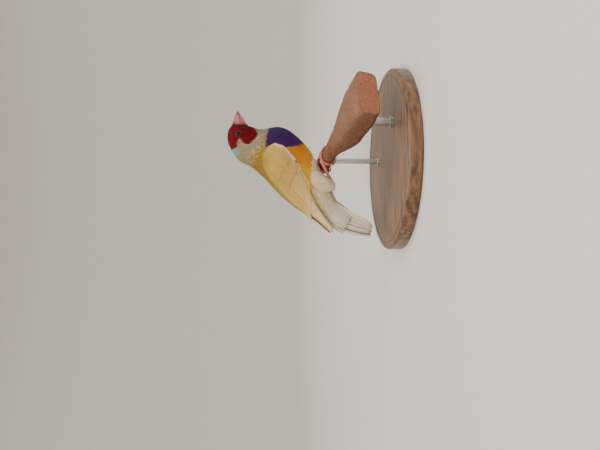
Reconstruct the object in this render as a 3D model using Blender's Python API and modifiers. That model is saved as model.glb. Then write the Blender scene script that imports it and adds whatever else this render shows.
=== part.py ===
"""A life-size gouldian finch perched on a cut length of sanded perch, on a round display stand.

Sizes are in millimetres in the bird's own axes and are turned to metres when a mesh is made.
The bird faces +X, its left side is +Y, and its origin is on the perch's top between the feet.
"""
import math
import random

import bmesh
import bpy
import numpy as np
from mathutils import Matrix, Vector

MM = 0.001
GAP = 0.3

# The stand and where the bird's origin sits above the middle of its underside.
BASE_RADIUS = 55.0
BASE_THICKNESS = 8.0
BASE_EDGE_BEVEL = 1.2
BIRD_AHEAD_OF_BASE_CENTRE = 4.0
BIRD_LEFT_OF_BASE_CENTRE = 22.0
TAIL_TIP_DROP = 32.5
TAIL_CLEARANCE = 6.0
BIRD_HEIGHT = BASE_THICKNESS + TAIL_CLEARANCE + TAIL_TIP_DROP
BIRD_ORIGIN = Vector((BIRD_AHEAD_OF_BASE_CENTRE, BIRD_LEFT_OF_BASE_CENTRE, BIRD_HEIGHT))

# Stations of the body from the bill's base to the tail's root: the outline's upper x and z,
# its lower x and z, the half width, and how far the widest level sits below the middle.
BODY = (
    (22.5, 57.4, 22.5, 46.0, 4.7, 0.00),
    (20.6, 59.0, 22.2, 44.2, 6.3, 0.02),
    (17.6, 59.8, 21.7, 42.4, 7.4, 0.04),
    (13.4, 59.7, 21.2, 40.6, 8.1, 0.05),
    (8.8, 58.1, 20.9, 38.9, 8.3, 0.06),
    (4.6, 55.7, 20.9, 37.2, 8.5, 0.06),
    (1.0, 53.0, 21.2, 35.2, 9.0, 0.04),
    (-1.2, 49.8, 21.8, 32.6, 10.0, 0.02),
    (-3.0, 45.8, 22.4, 29.4, 11.2, 0.00),
    (-6.4, 41.3, 22.4, 25.2, 12.5, 0.00),
    (-10.8, 36.7, 20.6, 20.6, 13.5, 0.00),
    (-15.6, 32.0, 17.2, 16.0, 13.9, 0.00),
    (-20.2, 27.4, 12.8, 11.4, 13.6, 0.00),
    (-24.8, 22.0, 7.6, 7.0, 12.7, 0.00),
    (-29.0, 16.4, 1.8, 3.8, 11.2, 0.00),
    (-32.6, 10.8, -5.2, 0.8, 9.4, 0.00),
    (-35.2, 5.8, -12.4, -3.4, 7.4, 0.00),
    (-37.0, 1.4, -19.2, -6.8, 5.6, 0.00),
    (-38.2, -2.2, -26.0, -9.8, 4.2, 0.00),
)
HEAD_ENDS_AT = 4.9
NECK_ENDS_AT = 7.6
BODY_ENDS_AT = len(BODY) - 1
BODY_RING = 24

# The folded wing lies on the body and runs on past it along these extra stations.
WING_GUIDE = BODY[:16] + (
    (-36.6, 6.2, -16.0, -1.6, 7.6, 0.00),
    (-40.4, 1.6, -26.0, -4.6, 6.4, 0.00),
    (-44.2, -2.6, -34.6, -8.2, 5.4, 0.00),
    (-47.4, -6.4, -41.6, -11.4, 4.4, 0.00),
)
# The wing's front end, then its upper and lower edges as angles from the back's middle line.
WING_EDGES = (
    (8.9, 60.0, 82.0),
    (9.5, 40.0, 98.0),
    (10.3, 28.0, 103.0),
    (11.0, 21.0, 103.0),
    (12.0, 15.0, 100.0),
    (13.0, 10.0, 94.0),
    (14.0, 7.0, 85.0),
    (15.0, 6.0, 76.0),
    (16.0, 6.0, 72.0),
    (17.0, 10.0, 72.0),
    (18.0, 20.0, 72.0),
    (18.9, 42.0, 66.0),
)
WING_FRONT = WING_EDGES[0][0]
WING_END = WING_EDGES[-1][0]
WING_PLATE_END = 15.6
WING_PLATE = 0.9
WING_SINK = 0.8
# The wing leaves the body from this station on, and stands this far off it past the next two.
WING_RISES_AT = 13.0
WING_RISE = 0.5
WING_CLEARANCE_HEIGHT = 5.0
# Where along a vane its sections stand, from root to tip, on long and on short feathers.
LONG_STOPS = (0.0, 0.4, 0.8, 1.0)
SHORT_STOPS = (0.0, 0.5, 0.88, 1.0)
# Each vane is rolled so that its lower edge stands over the next one.
SHINGLE_ROLL = math.radians(-9.0)
# Tiers of the folded wing, from the flight feathers up to the small coverts. Roots and tips are
# stations, and shares run from 0 at the wing's upper edge to 1 at its lower edge.
WING_TIERS = (
    {
        "count": 6, "root": (12.5, 12.8), "tip": (16.4, 18.8), "root_share": (0.50, 0.92),
        "tip_share": (0.40, 0.60), "lift": (0.5, 1.2), "step": 0.6, "half_width": 2.1,
        "thickness": 0.65, "stops": LONG_STOPS,
    },
    {
        "count": 4, "root": (11.6, 11.8), "tip": (15.6, 14.8), "root_share": (0.50, 0.92),
        "tip_share": (0.46, 0.88), "lift": (0.7, 1.6), "step": 0.3, "half_width": 2.4,
        "thickness": 0.65, "stops": SHORT_STOPS,
    },
    {
        "count": 3, "root": (11.0, 11.2), "tip": (16.2, 15.8), "root_share": (0.06, 0.36),
        "tip_share": (0.14, 0.42), "lift": (0.7, 1.8), "step": 0.1, "half_width": 2.8,
        "thickness": 0.65, "stops": SHORT_STOPS,
    },
    {
        "count": 6, "root": (10.2, 10.3), "tip": (12.7, 12.5), "root_share": (0.33, 0.95),
        "tip_share": (0.35, 0.96), "lift": (0.7, 1.9), "step": 0.2, "half_width": 2.0,
        "thickness": 0.65, "stops": SHORT_STOPS,
    },
    {
        "count": 4, "root": (9.3, 9.6), "tip": (11.2, 11.4), "root_share": (0.36, 0.88),
        "tip_share": (0.36, 0.92), "lift": (0.5, 2.0), "step": 0.1, "half_width": 2.4,
        "thickness": 0.65, "stops": SHORT_STOPS,
    },
    {
        "count": 3, "root": (9.9, 9.5), "tip": (12.9, 12.2), "root_share": (0.06, 0.30),
        "tip_share": (0.06, 0.28), "lift": (0.5, 2.0), "step": 0.1, "half_width": 2.6,
        "thickness": 0.65, "stops": SHORT_STOPS,
    },
)

# Tail: the middle pair follows the upper edge and the outer pair the lower edge.
TAIL_PAIRS = 6
TAIL_TOP_ROOT = Vector((-36.5, 0.5, -1.0))
TAIL_TOP_BEND = Vector((-46.4, 0.7, -13.0))
TAIL_TOP_TIP = Vector((-47.8, 0.9, -TAIL_TIP_DROP + 0.9))
TAIL_LOW_ROOT = Vector((-29.0, 2.6, -7.0))
TAIL_LOW_BEND = Vector((-35.6, 4.4, -17.0))
TAIL_LOW_TIP = Vector((-42.2, 4.6, -TAIL_TIP_DROP + 1.2))
TAIL_OUTER_TURN = 68.0
TAIL_VANE_HALF_WIDTH = 2.5
TAIL_VANE_THICKNESS = 0.62
TAIL_COVERT_THICKNESS = 0.7
# The core starts inside the body, tapers along this share of the feathers and is flat sideways.
TAIL_CORE_START = -0.08
TAIL_CORE_LENGTH = 0.62
TAIL_CORE_TAPER = 0.55
TAIL_CORE_FLATTEN = 0.72
# Coverts over and under the tail: root, bend, tip, how far they face sideways, half width.
TAIL_COVERTS = (
    (Vector((-35.5, 0.8, 1.5)), Vector((-42.0, 1.0, -5.5)), Vector((-46.6, 1.2, -13.5)), 20, 2.4),
    (Vector((-33.0, 2.4, 0.5)), Vector((-39.0, 2.9, -7.0)), Vector((-43.4, 3.0, -15.5)), 55, 2.6),
    (Vector((-29.0, 3.4, -2.0)), Vector((-35.0, 4.3, -9.0)), Vector((-39.6, 4.4, -17.5)), 80, 2.8),
    (Vector((-25.5, 3.0, -4.5)), Vector((-31.0, 4.1, -11.0)), Vector((-36.2, 4.0, -19.5)), 95, 2.8),
    (Vector((-23.5, 1.4, -6.5)), Vector((-29.0, 2.0, -13.4)), Vector((-35.2, 2.0, -21.0)), 150, 2.6),
)

# Bill.
BILL_BASE_X = 22.5 + GAP
BILL_TIP = Vector((33.4, 0.0, 53.4))
BILL_TOP_Z = 57.3
BILL_BOTTOM_Z = 46.1
MOUTH_Z = 51.6
BILL_HALF_WIDTH = 4.6
NOSTRIL = Vector((24.0, 2.55, 56.0))
NOSTRIL_RADIUS = 0.5
# The mouth line runs back into the head as a shallow slit.
GAPE_X = 21.6
GAPE_DEPTH = 1.5

# Eyes.
EYE_CENTRE_X = 16.1
EYE_CENTRE_Z = 52.7
EYE_RADIUS = 2.3
EYE_SHOWN_RADIUS = 1.75
LID_RADIUS = 0.5

# Legs, for the bird's left side, and how the right one differs is in the code.
HOCK = Vector((-14.6, 6.0, -6.4))
THIGH = (
    (Vector((-10.5, 6.2, 7.5)), 4.8),
    (Vector((-14.0, 6.8, 3.0)), 5.0),
    (Vector((-16.2, 6.8, -1.4)), 4.4),
    (Vector((-17.2, 6.4, -5.4)), 3.3),
    (Vector((-17.4, 6.2, -8.4)), 1.9),
)
THIGH_BREADTH = 1.15
# The shank's girth from the hock down to the ankle, as shares of its radius.
SHANK_GIRTH = (1.3, 1.2, 0.95, 0.95, 1.15)
TARSUS_RADIUS = 0.95
TOE_RADIUS = 0.8
CLAW_RADIUS = 0.5
PALM_RADIUS = 1.3
PALM_ANGLE = math.radians(128)
# Toes: how far each spreads along the perch, the angle round it that the claw reaches, girth.
TOES = (
    (-3.6, math.radians(-26), 1.0),
    (0.2, math.radians(-34), 1.0),
    (3.6, math.radians(-24), 1.0),
    (0.3, math.radians(262), 1.05),
)

# The perch runs from behind the left foot down to its broad sawn end on the bird's right.
# Each station gives its distance along the perch, offset sideways and up, half width, half height.
PERCH_START = Vector((2.4, -4.6, -4.9))
PERCH_END = Vector((22.6, -64.2, -20.9))
PERCH_STATIONS = (
    (-15.5, 0.0, -1.7, 3.6, 3.3),
    (-14.7, 0.0, -1.6, 4.4, 4.1),
    (-8.0, 0.0, -0.7, 4.7, 4.4),
    (0.0, 0.0, 0.0, 5.0, 4.7),
    (9.0, 0.2, 0.2, 5.3, 5.2),
    (18.0, -0.4, -0.6, 6.8, 7.2),
    (27.0, -0.4, -1.4, 8.3, 8.8),
    (38.0, 1.2, -1.0, 10.5, 9.3),
    (50.0, 2.2, -0.4, 12.9, 8.6),
    (62.5, 3.2, 0.0, 14.8, 6.6),
)
PERCH_RINGS = (-15.5, -14.7, -11, -7, -3, 1, 5, 9, 14, 18, 23, 28, 34, 40, 46, 54, 62.5)
PERCH_SIDES = 22
# The perch turns from round to a block with rounded corners over this stretch.
PERCH_SQUARES_FROM = 12.0
PERCH_SQUARES_OVER = 40.0
PERCH_SQUARENESS = 0.60
FOOT_STATION = {1: -10.2, -1: -0.6}
# Rods under the perch: how far along it they stand, and their radius.
RODS = {"stand_rod_front": (38.0, 2.6), "stand_rod_back": (-5.4, 1.7)}

MATERIALS = {
    "crimson_plumage": ((0.33, 0.010, 0.012), 0.75, 0.0),
    "pale_plumage": ((0.50, 0.47, 0.33), 0.80, 0.0),
    "violet_plumage": ((0.085, 0.030, 0.190), 0.75, 0.0),
    "olive_plumage": ((0.47, 0.37, 0.12), 0.75, 0.0),
    "cream_plumage": ((0.66, 0.60, 0.42), 0.80, 0.0),
    "pink_horn": ((0.66, 0.24, 0.25), 0.40, 0.0),
    "black_eye": ((0.008, 0.006, 0.006), 0.08, 0.0),
    "pink_skin": ((0.62, 0.24, 0.20), 0.55, 0.0),
    "sanded_perch": ((0.40, 0.19, 0.105), 0.90, 0.0),
    "stand_wood": ((0.27, 0.15, 0.075), 0.45, 0.0),
    "stand_steel": ((0.55, 0.55, 0.55), 0.30, 1.0),
}


def clear_scene():
    for thing in list(bpy.data.objects):
        bpy.data.objects.remove(thing, do_unlink=True)


def material(name):
    if name in bpy.data.materials:
        return bpy.data.materials[name]
    colour, roughness, metallic = MATERIALS[name]
    made = bpy.data.materials.new(name)
    made.use_nodes = True
    shader = made.node_tree.nodes["Principled BSDF"]
    shader.inputs["Base Color"].default_value = (*colour, 1.0)
    shader.inputs["Roughness"].default_value = roughness
    shader.inputs["Metallic"].default_value = metallic
    return made


def object_from(name, points, faces, collection):
    """An object from points in the bird's millimetres."""
    mesh = bpy.data.meshes.new(name)
    mesh.from_pydata([(Vector(p) + BIRD_ORIGIN) * MM for p in points], [], faces)
    mesh.update()
    made = bpy.data.objects.new(name, mesh)
    collection.objects.link(made)
    return made


def smooth_row(table, place):
    """A row between a table's rows on a smooth curve through them."""
    rows = np.asarray(table, dtype=float)
    last = len(rows) - 1
    place = min(max(place, 0.0), float(last))
    low = min(int(place), last - 1)
    t = place - low
    before = rows[max(low - 1, 0)]
    start = rows[low]
    end = rows[low + 1]
    after = rows[min(low + 2, last)]
    leave = (end - before) / 2
    arrive = (after - start) / 2
    return (
        (2 * t**3 - 3 * t**2 + 1) * start
        + (t**3 - 2 * t**2 + t) * leave
        + (3 * t**2 - 2 * t**3) * end
        + (t**3 - t**2) * arrive
    )


def on_loft(table, place, angle, offset=0.0):
    """A point on a lofted body: angle 0 is the back's middle, positive to the bird's left."""
    top_x, top_z, low_x, low_z, half_width, sag = smooth_row(table, place)
    cosine = math.cos(angle)
    point = Vector((
        (top_x + low_x) / 2 + (top_x - low_x) / 2 * cosine,
        half_width * math.sin(angle) * (1 - sag * cosine),
        (top_z + low_z) / 2 + (top_z - low_z) / 2 * cosine,
    ))
    if offset:
        point += loft_normal(table, place, angle) * offset
    return point


def loft_normal(table, place, angle):
    step = 0.02
    last = len(table) - 1
    ahead = on_loft(table, min(place + step, last), angle)
    behind = on_loft(table, max(place - step, 0), angle)
    left = on_loft(table, place, angle + step)
    right = on_loft(table, place, angle - step)
    return (left - right).cross(ahead - behind).normalized()


def ring_faces(ring_count, ring_size):
    """Quads between closed rings, and a flat cap at each end."""
    faces = []
    for ring in range(ring_count - 1):
        for k in range(ring_size):
            step = (k + 1) % ring_size
            a = ring * ring_size
            b = a + ring_size
            faces.append((a + k, a + step, b + step, b + k))
    faces.append(tuple(reversed(range(ring_size))))
    last = (ring_count - 1) * ring_size
    faces.append(tuple(last + k for k in range(ring_size)))
    return faces


def face_outwards(made):
    """Turn every face outwards, with the quads and caps split into triangles."""
    work = bmesh.new()
    work.from_mesh(made.data)
    bmesh.ops.triangulate(work, faces=work.faces[:])
    bmesh.ops.recalc_face_normals(work, faces=work.faces[:])
    work.to_mesh(made.data)
    work.free()


def body_loft(name, start, end, rings, collection, offset=0.0):
    points = []
    for i in range(rings):
        place = start + (end - start) * i / (rings - 1)
        beyond = Vector((0.0, 0.0, 0.0))
        if i in (0, rings - 1):
            beyond = body_plane(place)[1] * (offset if i == 0 else -offset)
        for k in range(BODY_RING):
            points.append(on_loft(BODY, place, 2 * math.pi * k / BODY_RING, offset) + beyond)
    made = object_from(name, points, ring_faces(rings, BODY_RING), collection)
    face_outwards(made)
    return made


def body_plane(place):
    """The flat section through the body at a station: a point on it and its forward direction."""
    top_x, top_z, low_x, low_z, _, _ = smooth_row(BODY, place)
    middle = Vector(((top_x + low_x) / 2, 0.0, (top_z + low_z) / 2))
    across = Vector((top_x - low_x, 0.0, top_z - low_z)).normalized()
    forward = Vector((0.0, 1.0, 0.0)).cross(across)
    if forward.x < 0:
        forward = -forward
    return middle, forward


def cut_flat(made, middle, forward, keep_front):
    """Cut an object along a plane, half a gap clear of it, and close the cut."""
    clear = GAP / 2 if keep_front else -GAP / 2
    work = bmesh.new()
    work.from_mesh(made.data)
    cut = bmesh.ops.bisect_plane(
        work,
        geom=work.verts[:] + work.edges[:] + work.faces[:],
        plane_co=(middle + forward * clear + BIRD_ORIGIN) * MM,
        plane_no=forward,
        clear_inner=keep_front,
        clear_outer=not keep_front,
    )
    rim = [e for e in cut["geom_cut"] if isinstance(e, bmesh.types.BMEdge)]
    bmesh.ops.holes_fill(work, edges=rim)
    bmesh.ops.triangulate(work, faces=work.faces[:])
    bmesh.ops.recalc_face_normals(work, faces=work.faces[:])
    work.to_mesh(made.data)
    work.free()


def bake_modifiers(made):
    """Replace an object's mesh with what its modifiers make."""
    bpy.context.view_layer.update()
    seen = made.evaluated_get(bpy.context.evaluated_depsgraph_get())
    mesh = bpy.data.meshes.new_from_object(seen)
    made.modifiers.clear()
    made.data = mesh


def keep_largest(made):
    """Drop every closed surface but the one with the most volume."""
    work = bmesh.new()
    work.from_mesh(made.data)
    bmesh.ops.remove_doubles(work, verts=work.verts[:], dist=0.00001 * MM)
    unseen = set(work.faces)
    shells = []
    while unseen:
        stack = [unseen.pop()]
        shell = list(stack)
        while stack:
            for edge in stack.pop().edges:
                for face in edge.link_faces:
                    if face in unseen:
                        unseen.remove(face)
                        stack.append(face)
                        shell.append(face)
        shells.append(shell)

    def volume(shell):
        total = 0.0
        for face in shell:
            corners = [v.co for v in face.verts]
            for i in range(1, len(corners) - 1):
                total += corners[0].dot(corners[i].cross(corners[i + 1]))
        return total

    shells.sort(key=volume)
    for shell in shells[:-1]:
        bmesh.ops.delete(work, geom=shell, context="FACES")
    bmesh.ops.triangulate(work, faces=work.faces[:])
    work.to_mesh(made.data)
    work.free()


def fuse(name, pieces):
    """Join closed meshes into one closed body with a single union."""
    first = pieces[0]
    if len(pieces) == 1:
        return first
    rest = bpy.data.collections.new(name + "_pieces")
    bpy.context.scene.collection.children.link(rest)
    for piece in pieces[1:]:
        for owner in list(piece.users_collection):
            owner.objects.unlink(piece)
        rest.objects.link(piece)
    join = first.modifiers.new("join", "BOOLEAN")
    join.operation = "UNION"
    join.operand_type = "COLLECTION"
    join.collection = rest
    join.solver = "MANIFOLD"
    bake_modifiers(first)
    for piece in list(rest.objects):
        bpy.data.objects.remove(piece, do_unlink=True)
    bpy.data.collections.remove(rest)
    first.name = name
    keep_largest(first)
    return first


def carve(made, cutter):
    """Take a closed cutter's space out of an object."""
    cut = made.modifiers.new("cut", "BOOLEAN")
    cut.operation = "DIFFERENCE"
    cut.object = cutter
    cut.solver = "MANIFOLD"
    bake_modifiers(made)
    keep_largest(made)


def hide_cutter(made):
    made.hide_render = True
    made.display_type = "WIRE"
    return made


def tube(name, path, radii, sides, collection, flatten=1.0, start_side=None):
    """A tapered tube along a path, its rings square to the path."""
    points = []
    side = start_side or Vector((0.0, 1.0, 0.0))
    count = len(path)
    for i, centre in enumerate(path):
        ahead = path[min(i + 1, count - 1)] - path[max(i - 1, 0)]
        ahead.normalize()
        side = (side - ahead * side.dot(ahead)).normalized()
        other = ahead.cross(side)
        for k in range(sides):
            angle = 2 * math.pi * k / sides
            reach = side * math.cos(angle) + other * math.sin(angle) * flatten
            points.append(centre + reach * radii[i])
    made = object_from(name, points, ring_faces(count, sides), collection)
    face_outwards(made)
    return made


def curved(start, bend, end, t):
    """A point on the curve that leaves start towards bend and ends at end."""
    return start * (1 - t) ** 2 + bend * 2 * t * (1 - t) + end * t**2


def ball(name, centre, radius, collection, segments, rings):
    mesh = bpy.data.meshes.new(name)
    work = bmesh.new()
    bmesh.ops.create_uvsphere(work, u_segments=segments, v_segments=rings, radius=radius * MM)
    turn = Matrix.Rotation(math.pi / 2, 4, "X")
    place = Matrix.Translation((Vector(centre) + BIRD_ORIGIN) * MM)
    bmesh.ops.transform(work, matrix=place @ turn, verts=work.verts[:])
    bmesh.ops.triangulate(work, faces=work.faces[:])
    bmesh.ops.recalc_face_normals(work, faces=work.faces[:])
    work.to_mesh(mesh)
    work.free()
    made = bpy.data.objects.new(name, mesh)
    collection.objects.link(made)
    return made


def wing_edges(place):
    """The folded wing's upper and lower edge angles at a station."""
    stations, uppers, lowers = zip(*WING_EDGES)
    upper = np.interp(place, stations, uppers)
    lower = np.interp(place, stations, lowers)
    return math.radians(upper), math.radians(lower)


def plate_on_guide(name, side, start, end, underside, height, rows, columns, collection):
    """A closed plate over the wing's outline, from its underside up to a height on the guide."""
    sheets = ([], [])
    least = 0.5
    for i in range(rows):
        place = start + (end - start) * i / (rows - 1)
        upper, lower = wing_edges(place)
        for j in range(columns):
            share = j / (columns - 1)
            angle = side * (upper + (lower - upper) * share)
            rim = math.sin(math.pi * share) ** 0.5
            ends = min(1.0, 4.0 * min(i, rows - 1 - i) / (rows - 1) + 0.25)
            lift = height * (0.35 + 0.65 * rim * ends)
            base = underside(place)
            sheets[0].append(on_loft(WING_GUIDE, place, angle, base))
            sheets[1].append(on_loft(WING_GUIDE, place, angle, max(base + least, lift)))
    size = rows * columns
    faces = []
    for i in range(rows - 1):
        for j in range(columns - 1):
            a = i * columns + j
            b = a + 1
            c = a + columns + 1
            d = a + columns
            faces += [(a, b, c), (a, c, d)]
            faces += [(a + size, c + size, b + size), (a + size, d + size, c + size)]
    border = list(range(columns))
    border += [i * columns + columns - 1 for i in range(1, rows)]
    border += [(rows - 1) * columns + j for j in range(columns - 2, -1, -1)]
    border += [i * columns for i in range(rows - 2, 0, -1)]
    for k, a in enumerate(border):
        b = border[(k + 1) % len(border)]
        faces += [(b, a, a + size), (b, a + size, b + size)]
    made = object_from(name, sheets[0] + sheets[1], faces, collection)
    face_outwards(made)
    return made


def wing_underside(place):
    """The plate sinks into the body and rises clear of it towards the wing's tip."""
    rise = min(max((place - WING_RISES_AT) / 2.0, 0.0), 1.0)
    return -WING_SINK + rise * (WING_SINK + WING_RISE)


def vane(name, frames, half_width, thickness, collection, tip_share=0.3):
    """A closed feather vane, a thin plate through (t, centre, tangent, normal) frames.

    Both faces are split into triangles alike, so that a thin curved vane never crosses itself.
    """
    profile_at = (0.0, 0.2, 0.5, 0.8, 0.93, 1.0)
    profile = (0.55, 0.88, 1.0, 0.95, 0.72, tip_share)
    points = []
    for t, centre, tangent, normal in frames:
        across = normal.cross(tangent).normalized()
        half = half_width * float(np.interp(t, profile_at, profile))
        depth = normal * thickness * (1.0 - 0.3 * t)
        points += [centre + across * half, centre - across * half]
        points += [centre + across * half - depth, centre - across * half - depth]
    faces = []
    for i in range(len(frames) - 1):
        a = i * 4
        b = a + 4
        faces += [(a, a + 1, b + 1), (a, b + 1, b)]
        faces += [(a + 2, b + 3, a + 3), (a + 2, b + 2, b + 3)]
        faces += [(a, b, b + 2), (a, b + 2, a + 2)]
        faces += [(a + 1, b + 3, b + 1), (a + 1, a + 3, b + 3)]
    for a in (0, (len(frames) - 1) * 4):
        faces += [(a, a + 2, a + 3), (a, a + 3, a + 1)]
    made = object_from(name, points, faces, collection)
    face_outwards(made)
    return made


def framed(points, normals, stops):
    """Frames along a path: its tangents by differences between neighbours."""
    frames = []
    last = len(points) - 1
    for i, t in enumerate(stops):
        tangent = (points[min(i + 1, last)] - points[max(i - 1, 0)]).normalized()
        normal = (normals[i] - tangent * normals[i].dot(tangent)).normalized()
        frames.append((t, points[i], tangent, normal))
    return frames


def wing_vane(side, root, tip, lifts, half_width, thickness, stops, collection):
    """A vane on the folded wing from a root to a tip, each (station, share across the wing)."""
    points = []
    normals = []
    for t in stops:
        place = root[0] + (tip[0] - root[0]) * t
        share = root[1] + (tip[1] - root[1]) * t
        upper, lower = wing_edges(place)
        angle = side * (upper + (lower - upper) * share)
        lift = lifts[0] + (lifts[1] - lifts[0]) * t
        points.append(on_loft(WING_GUIDE, place, angle, lift))
        normals.append(loft_normal(WING_GUIDE, place, angle + side * SHINGLE_ROLL))
    return vane("vane", framed(points, normals, stops), half_width, thickness, collection)


def wing_tier(side, tier, rng, collection):
    """One tier of vanes, laid from the upper edge down, each one lower than the one above it."""
    vanes = []
    count = tier["count"]
    for i in range(count):
        u = i / (count - 1)
        jitter = rng.uniform(-1.0, 1.0)
        root = (
            tier["root"][0] + (tier["root"][1] - tier["root"][0]) * u,
            tier["root_share"][0] + (tier["root_share"][1] - tier["root_share"][0]) * u,
        )
        tip = (
            tier["tip"][0] + (tier["tip"][1] - tier["tip"][0]) * u + 0.05 * jitter,
            tier["tip_share"][0] + (tier["tip_share"][1] - tier["tip_share"][0]) * u,
        )
        sink = tier["step"] * u
        lifts = (tier["lift"][0] - sink, tier["lift"][1] - sink)
        width = tier["half_width"] * (1 + 0.05 * rng.uniform(-1.0, 1.0))
        vanes.append(
            wing_vane(side, root, tip, lifts, width, tier["thickness"], tier["stops"], collection)
        )
    return vanes


def build_wing(name, side, body_clear, parts):
    """A folded wing: a plate that lies on the body and tiers of vanes rooted in it."""
    rng = random.Random(11 if side > 0 else 12)
    plate = plate_on_guide(
        name, side, WING_FRONT, WING_PLATE_END, wing_underside, WING_PLATE, 10, 6, parts
    )
    pieces = [plate]
    for tier in WING_TIERS:
        pieces += wing_tier(side, tier, rng, parts)
    wing = fuse(name, pieces)
    carve(wing, body_clear)
    wing.data.materials.append(material("olive_plumage"))
    return wing


def wing_clearance(name, side, cutters):
    """The space that a wing takes past the body, which the tail keeps out of."""
    return hide_cutter(plate_on_guide(
        name, side, WING_RISES_AT, WING_END, lambda place: -GAP / 2, WING_CLEARANCE_HEIGHT, 10, 5,
        cutters,
    ))


def tail_spine(share):
    """Root, bend and tip of a tail feather, share 0 in the middle pair and 1 in the outer."""
    root = TAIL_TOP_ROOT.lerp(TAIL_LOW_ROOT, share)
    bend = TAIL_TOP_BEND.lerp(TAIL_LOW_BEND, share)
    tip = TAIL_TOP_TIP.lerp(TAIL_LOW_TIP, share)
    return root, bend, tip


def tail_vane(side, spine, turn, half_width, thickness, stops, collection):
    """A tail vane along a spine on one side, its face turned outwards from the tail's back."""
    points = []
    for t in stops:
        at = curved(*spine, t)
        points.append(Vector((at.x, side * at.y, at.z)))
    last = len(points) - 1
    normals = []
    for i in range(len(points)):
        tangent = (points[min(i + 1, last)] - points[max(i - 1, 0)]).normalized()
        back = Vector((tangent.z, 0.0, -tangent.x))
        if back.x > 0:
            back = -back
        outward = Vector((0.0, float(side), 0.0))
        normals.append(back * math.cos(turn) + outward * math.sin(turn))
    return vane("vane", framed(points, normals, stops), half_width, thickness, collection, 0.35)


def build_tail(body_clear, wing_clears, parts):
    """A short core out of the body with twelve tail feathers and the coverts over and under it."""
    path = []
    radii = []
    steps = 6
    for i in range(steps):
        t = TAIL_CORE_LENGTH * i / (steps - 1) + TAIL_CORE_START
        top = curved(*tail_spine(0.0), t)
        low = curved(*tail_spine(1.0), t)
        path.append(Vector(((top.x + low.x) / 2, 0.0, (top.z + low.z) / 2)))
        across = Vector((top.x - low.x, 0.0, top.z - low.z)).length / 2
        radii.append(across * (0.98 - TAIL_CORE_TAPER * t))
    core = tube("tail", path, radii, 10, parts)
    middle = BIRD_ORIGIN.y * MM
    for vert in core.data.vertices:
        vert.co.y = middle + (vert.co.y - middle) * TAIL_CORE_FLATTEN
    pieces = [core]
    for pair in range(TAIL_PAIRS):
        share = pair / (TAIL_PAIRS - 1)
        turn = math.radians(TAIL_OUTER_TURN) * share**0.8
        for side in (1, -1):
            spine = tail_spine(share)
            tip = spine[2] + Vector((0.0, 0.0, 0.9 * math.sin(3.0 * pair + side)))
            pieces.append(
                tail_vane(side, (spine[0], spine[1], tip), turn, TAIL_VANE_HALF_WIDTH,
                          TAIL_VANE_THICKNESS, LONG_STOPS, parts)
            )
    for root, bend, tip, turn, half_width in TAIL_COVERTS:
        for side in (1, -1):
            pieces.append(
                tail_vane(side, (root, bend, tip), math.radians(turn), half_width,
                          TAIL_COVERT_THICKNESS, SHORT_STOPS, parts)
            )
    tail = fuse("tail", pieces)
    carve(tail, body_clear)
    for clear in wing_clears:
        carve(tail, clear)
    tail.data.materials.append(material("cream_plumage"))
    return tail


def eye_centre(side):
    """An eyeball's centre, sunk so that its shown circle lies in the head's side."""
    for step in range(400):
        place = step / 100
        top_x, top_z, low_x, low_z, half_width, sag = smooth_row(BODY, place)
        share = (top_z - EYE_CENTRE_Z) / (top_z - low_z)
        if top_x + (low_x - top_x) * share <= EYE_CENTRE_X:
            break
    angle = math.acos(1 - 2 * share)
    surface = on_loft(BODY, place, side * angle)
    outward = loft_normal(BODY, place, side * angle)
    if outward.y * side < 0:
        outward = -outward
    sink = math.sqrt(EYE_RADIUS**2 - EYE_SHOWN_RADIUS**2)
    return surface - outward * sink, outward, surface


def build_eye(name, side, parts):
    centre, _, _ = eye_centre(side)
    eye = ball(name, centre, EYE_RADIUS, parts, 18, 10)
    eye.data.materials.append(material("black_eye"))
    eye.data.shade_smooth()
    return eye


def lid_ring(side, parts):
    """The rim of the two lids, a little longer than it is high."""
    _, outward, surface = eye_centre(side)
    along = (Vector((0, 0, 1)).cross(outward)).normalized()
    up = outward.cross(along)
    points = []
    turns = 16
    sides = 6
    for i in range(turns):
        around = 2 * math.pi * i / turns
        reach = along * math.cos(around) * 1.06 + up * math.sin(around) * 0.96
        middle = surface + reach * (EYE_SHOWN_RADIUS + 0.42) + outward * 0.05
        for k in range(sides):
            angle = 2 * math.pi * k / sides
            points.append(middle + (reach * math.cos(angle) + outward * math.sin(angle)) * LID_RADIUS)
    faces = []
    for i in range(turns):
        for k in range(sides):
            a = i * sides + k
            b = i * sides + (k + 1) % sides
            c = ((i + 1) % turns) * sides + (k + 1) % sides
            d = ((i + 1) % turns) * sides + k
            faces.append((a, b, c, d))
    ring = object_from("lid_ring", points, faces, parts)
    face_outwards(ring)
    return ring


def build_head(parts, cutters):
    head = body_loft("head", 0.0, HEAD_ENDS_AT + 0.6, 13, parts)
    middle, forward = body_plane(HEAD_ENDS_AT)
    cut_flat(head, middle, forward, True)
    head = fuse("head", [head, lid_ring(1, parts), lid_ring(-1, parts)])
    for side in (1, -1):
        centre, _, _ = eye_centre(side)
        socket = ball("socket", centre, EYE_RADIUS + GAP, cutters, 16, 10)
        carve(head, socket)
        bpy.data.objects.remove(socket, do_unlink=True)
    reach = 2 * BILL_HALF_WIDTH
    ends = [Vector((GAPE_X, y, MOUTH_Z)) for y in (-reach, reach)]
    gape = tube(
        "gape", ends, [GAPE_DEPTH, GAPE_DEPTH], 4, cutters, flatten=0.2,
        start_side=Vector((1, 0, 0)),
    )
    carve(head, gape)
    bpy.data.objects.remove(gape, do_unlink=True)
    head.data.materials.append(material("crimson_plumage"))
    return head


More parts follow.
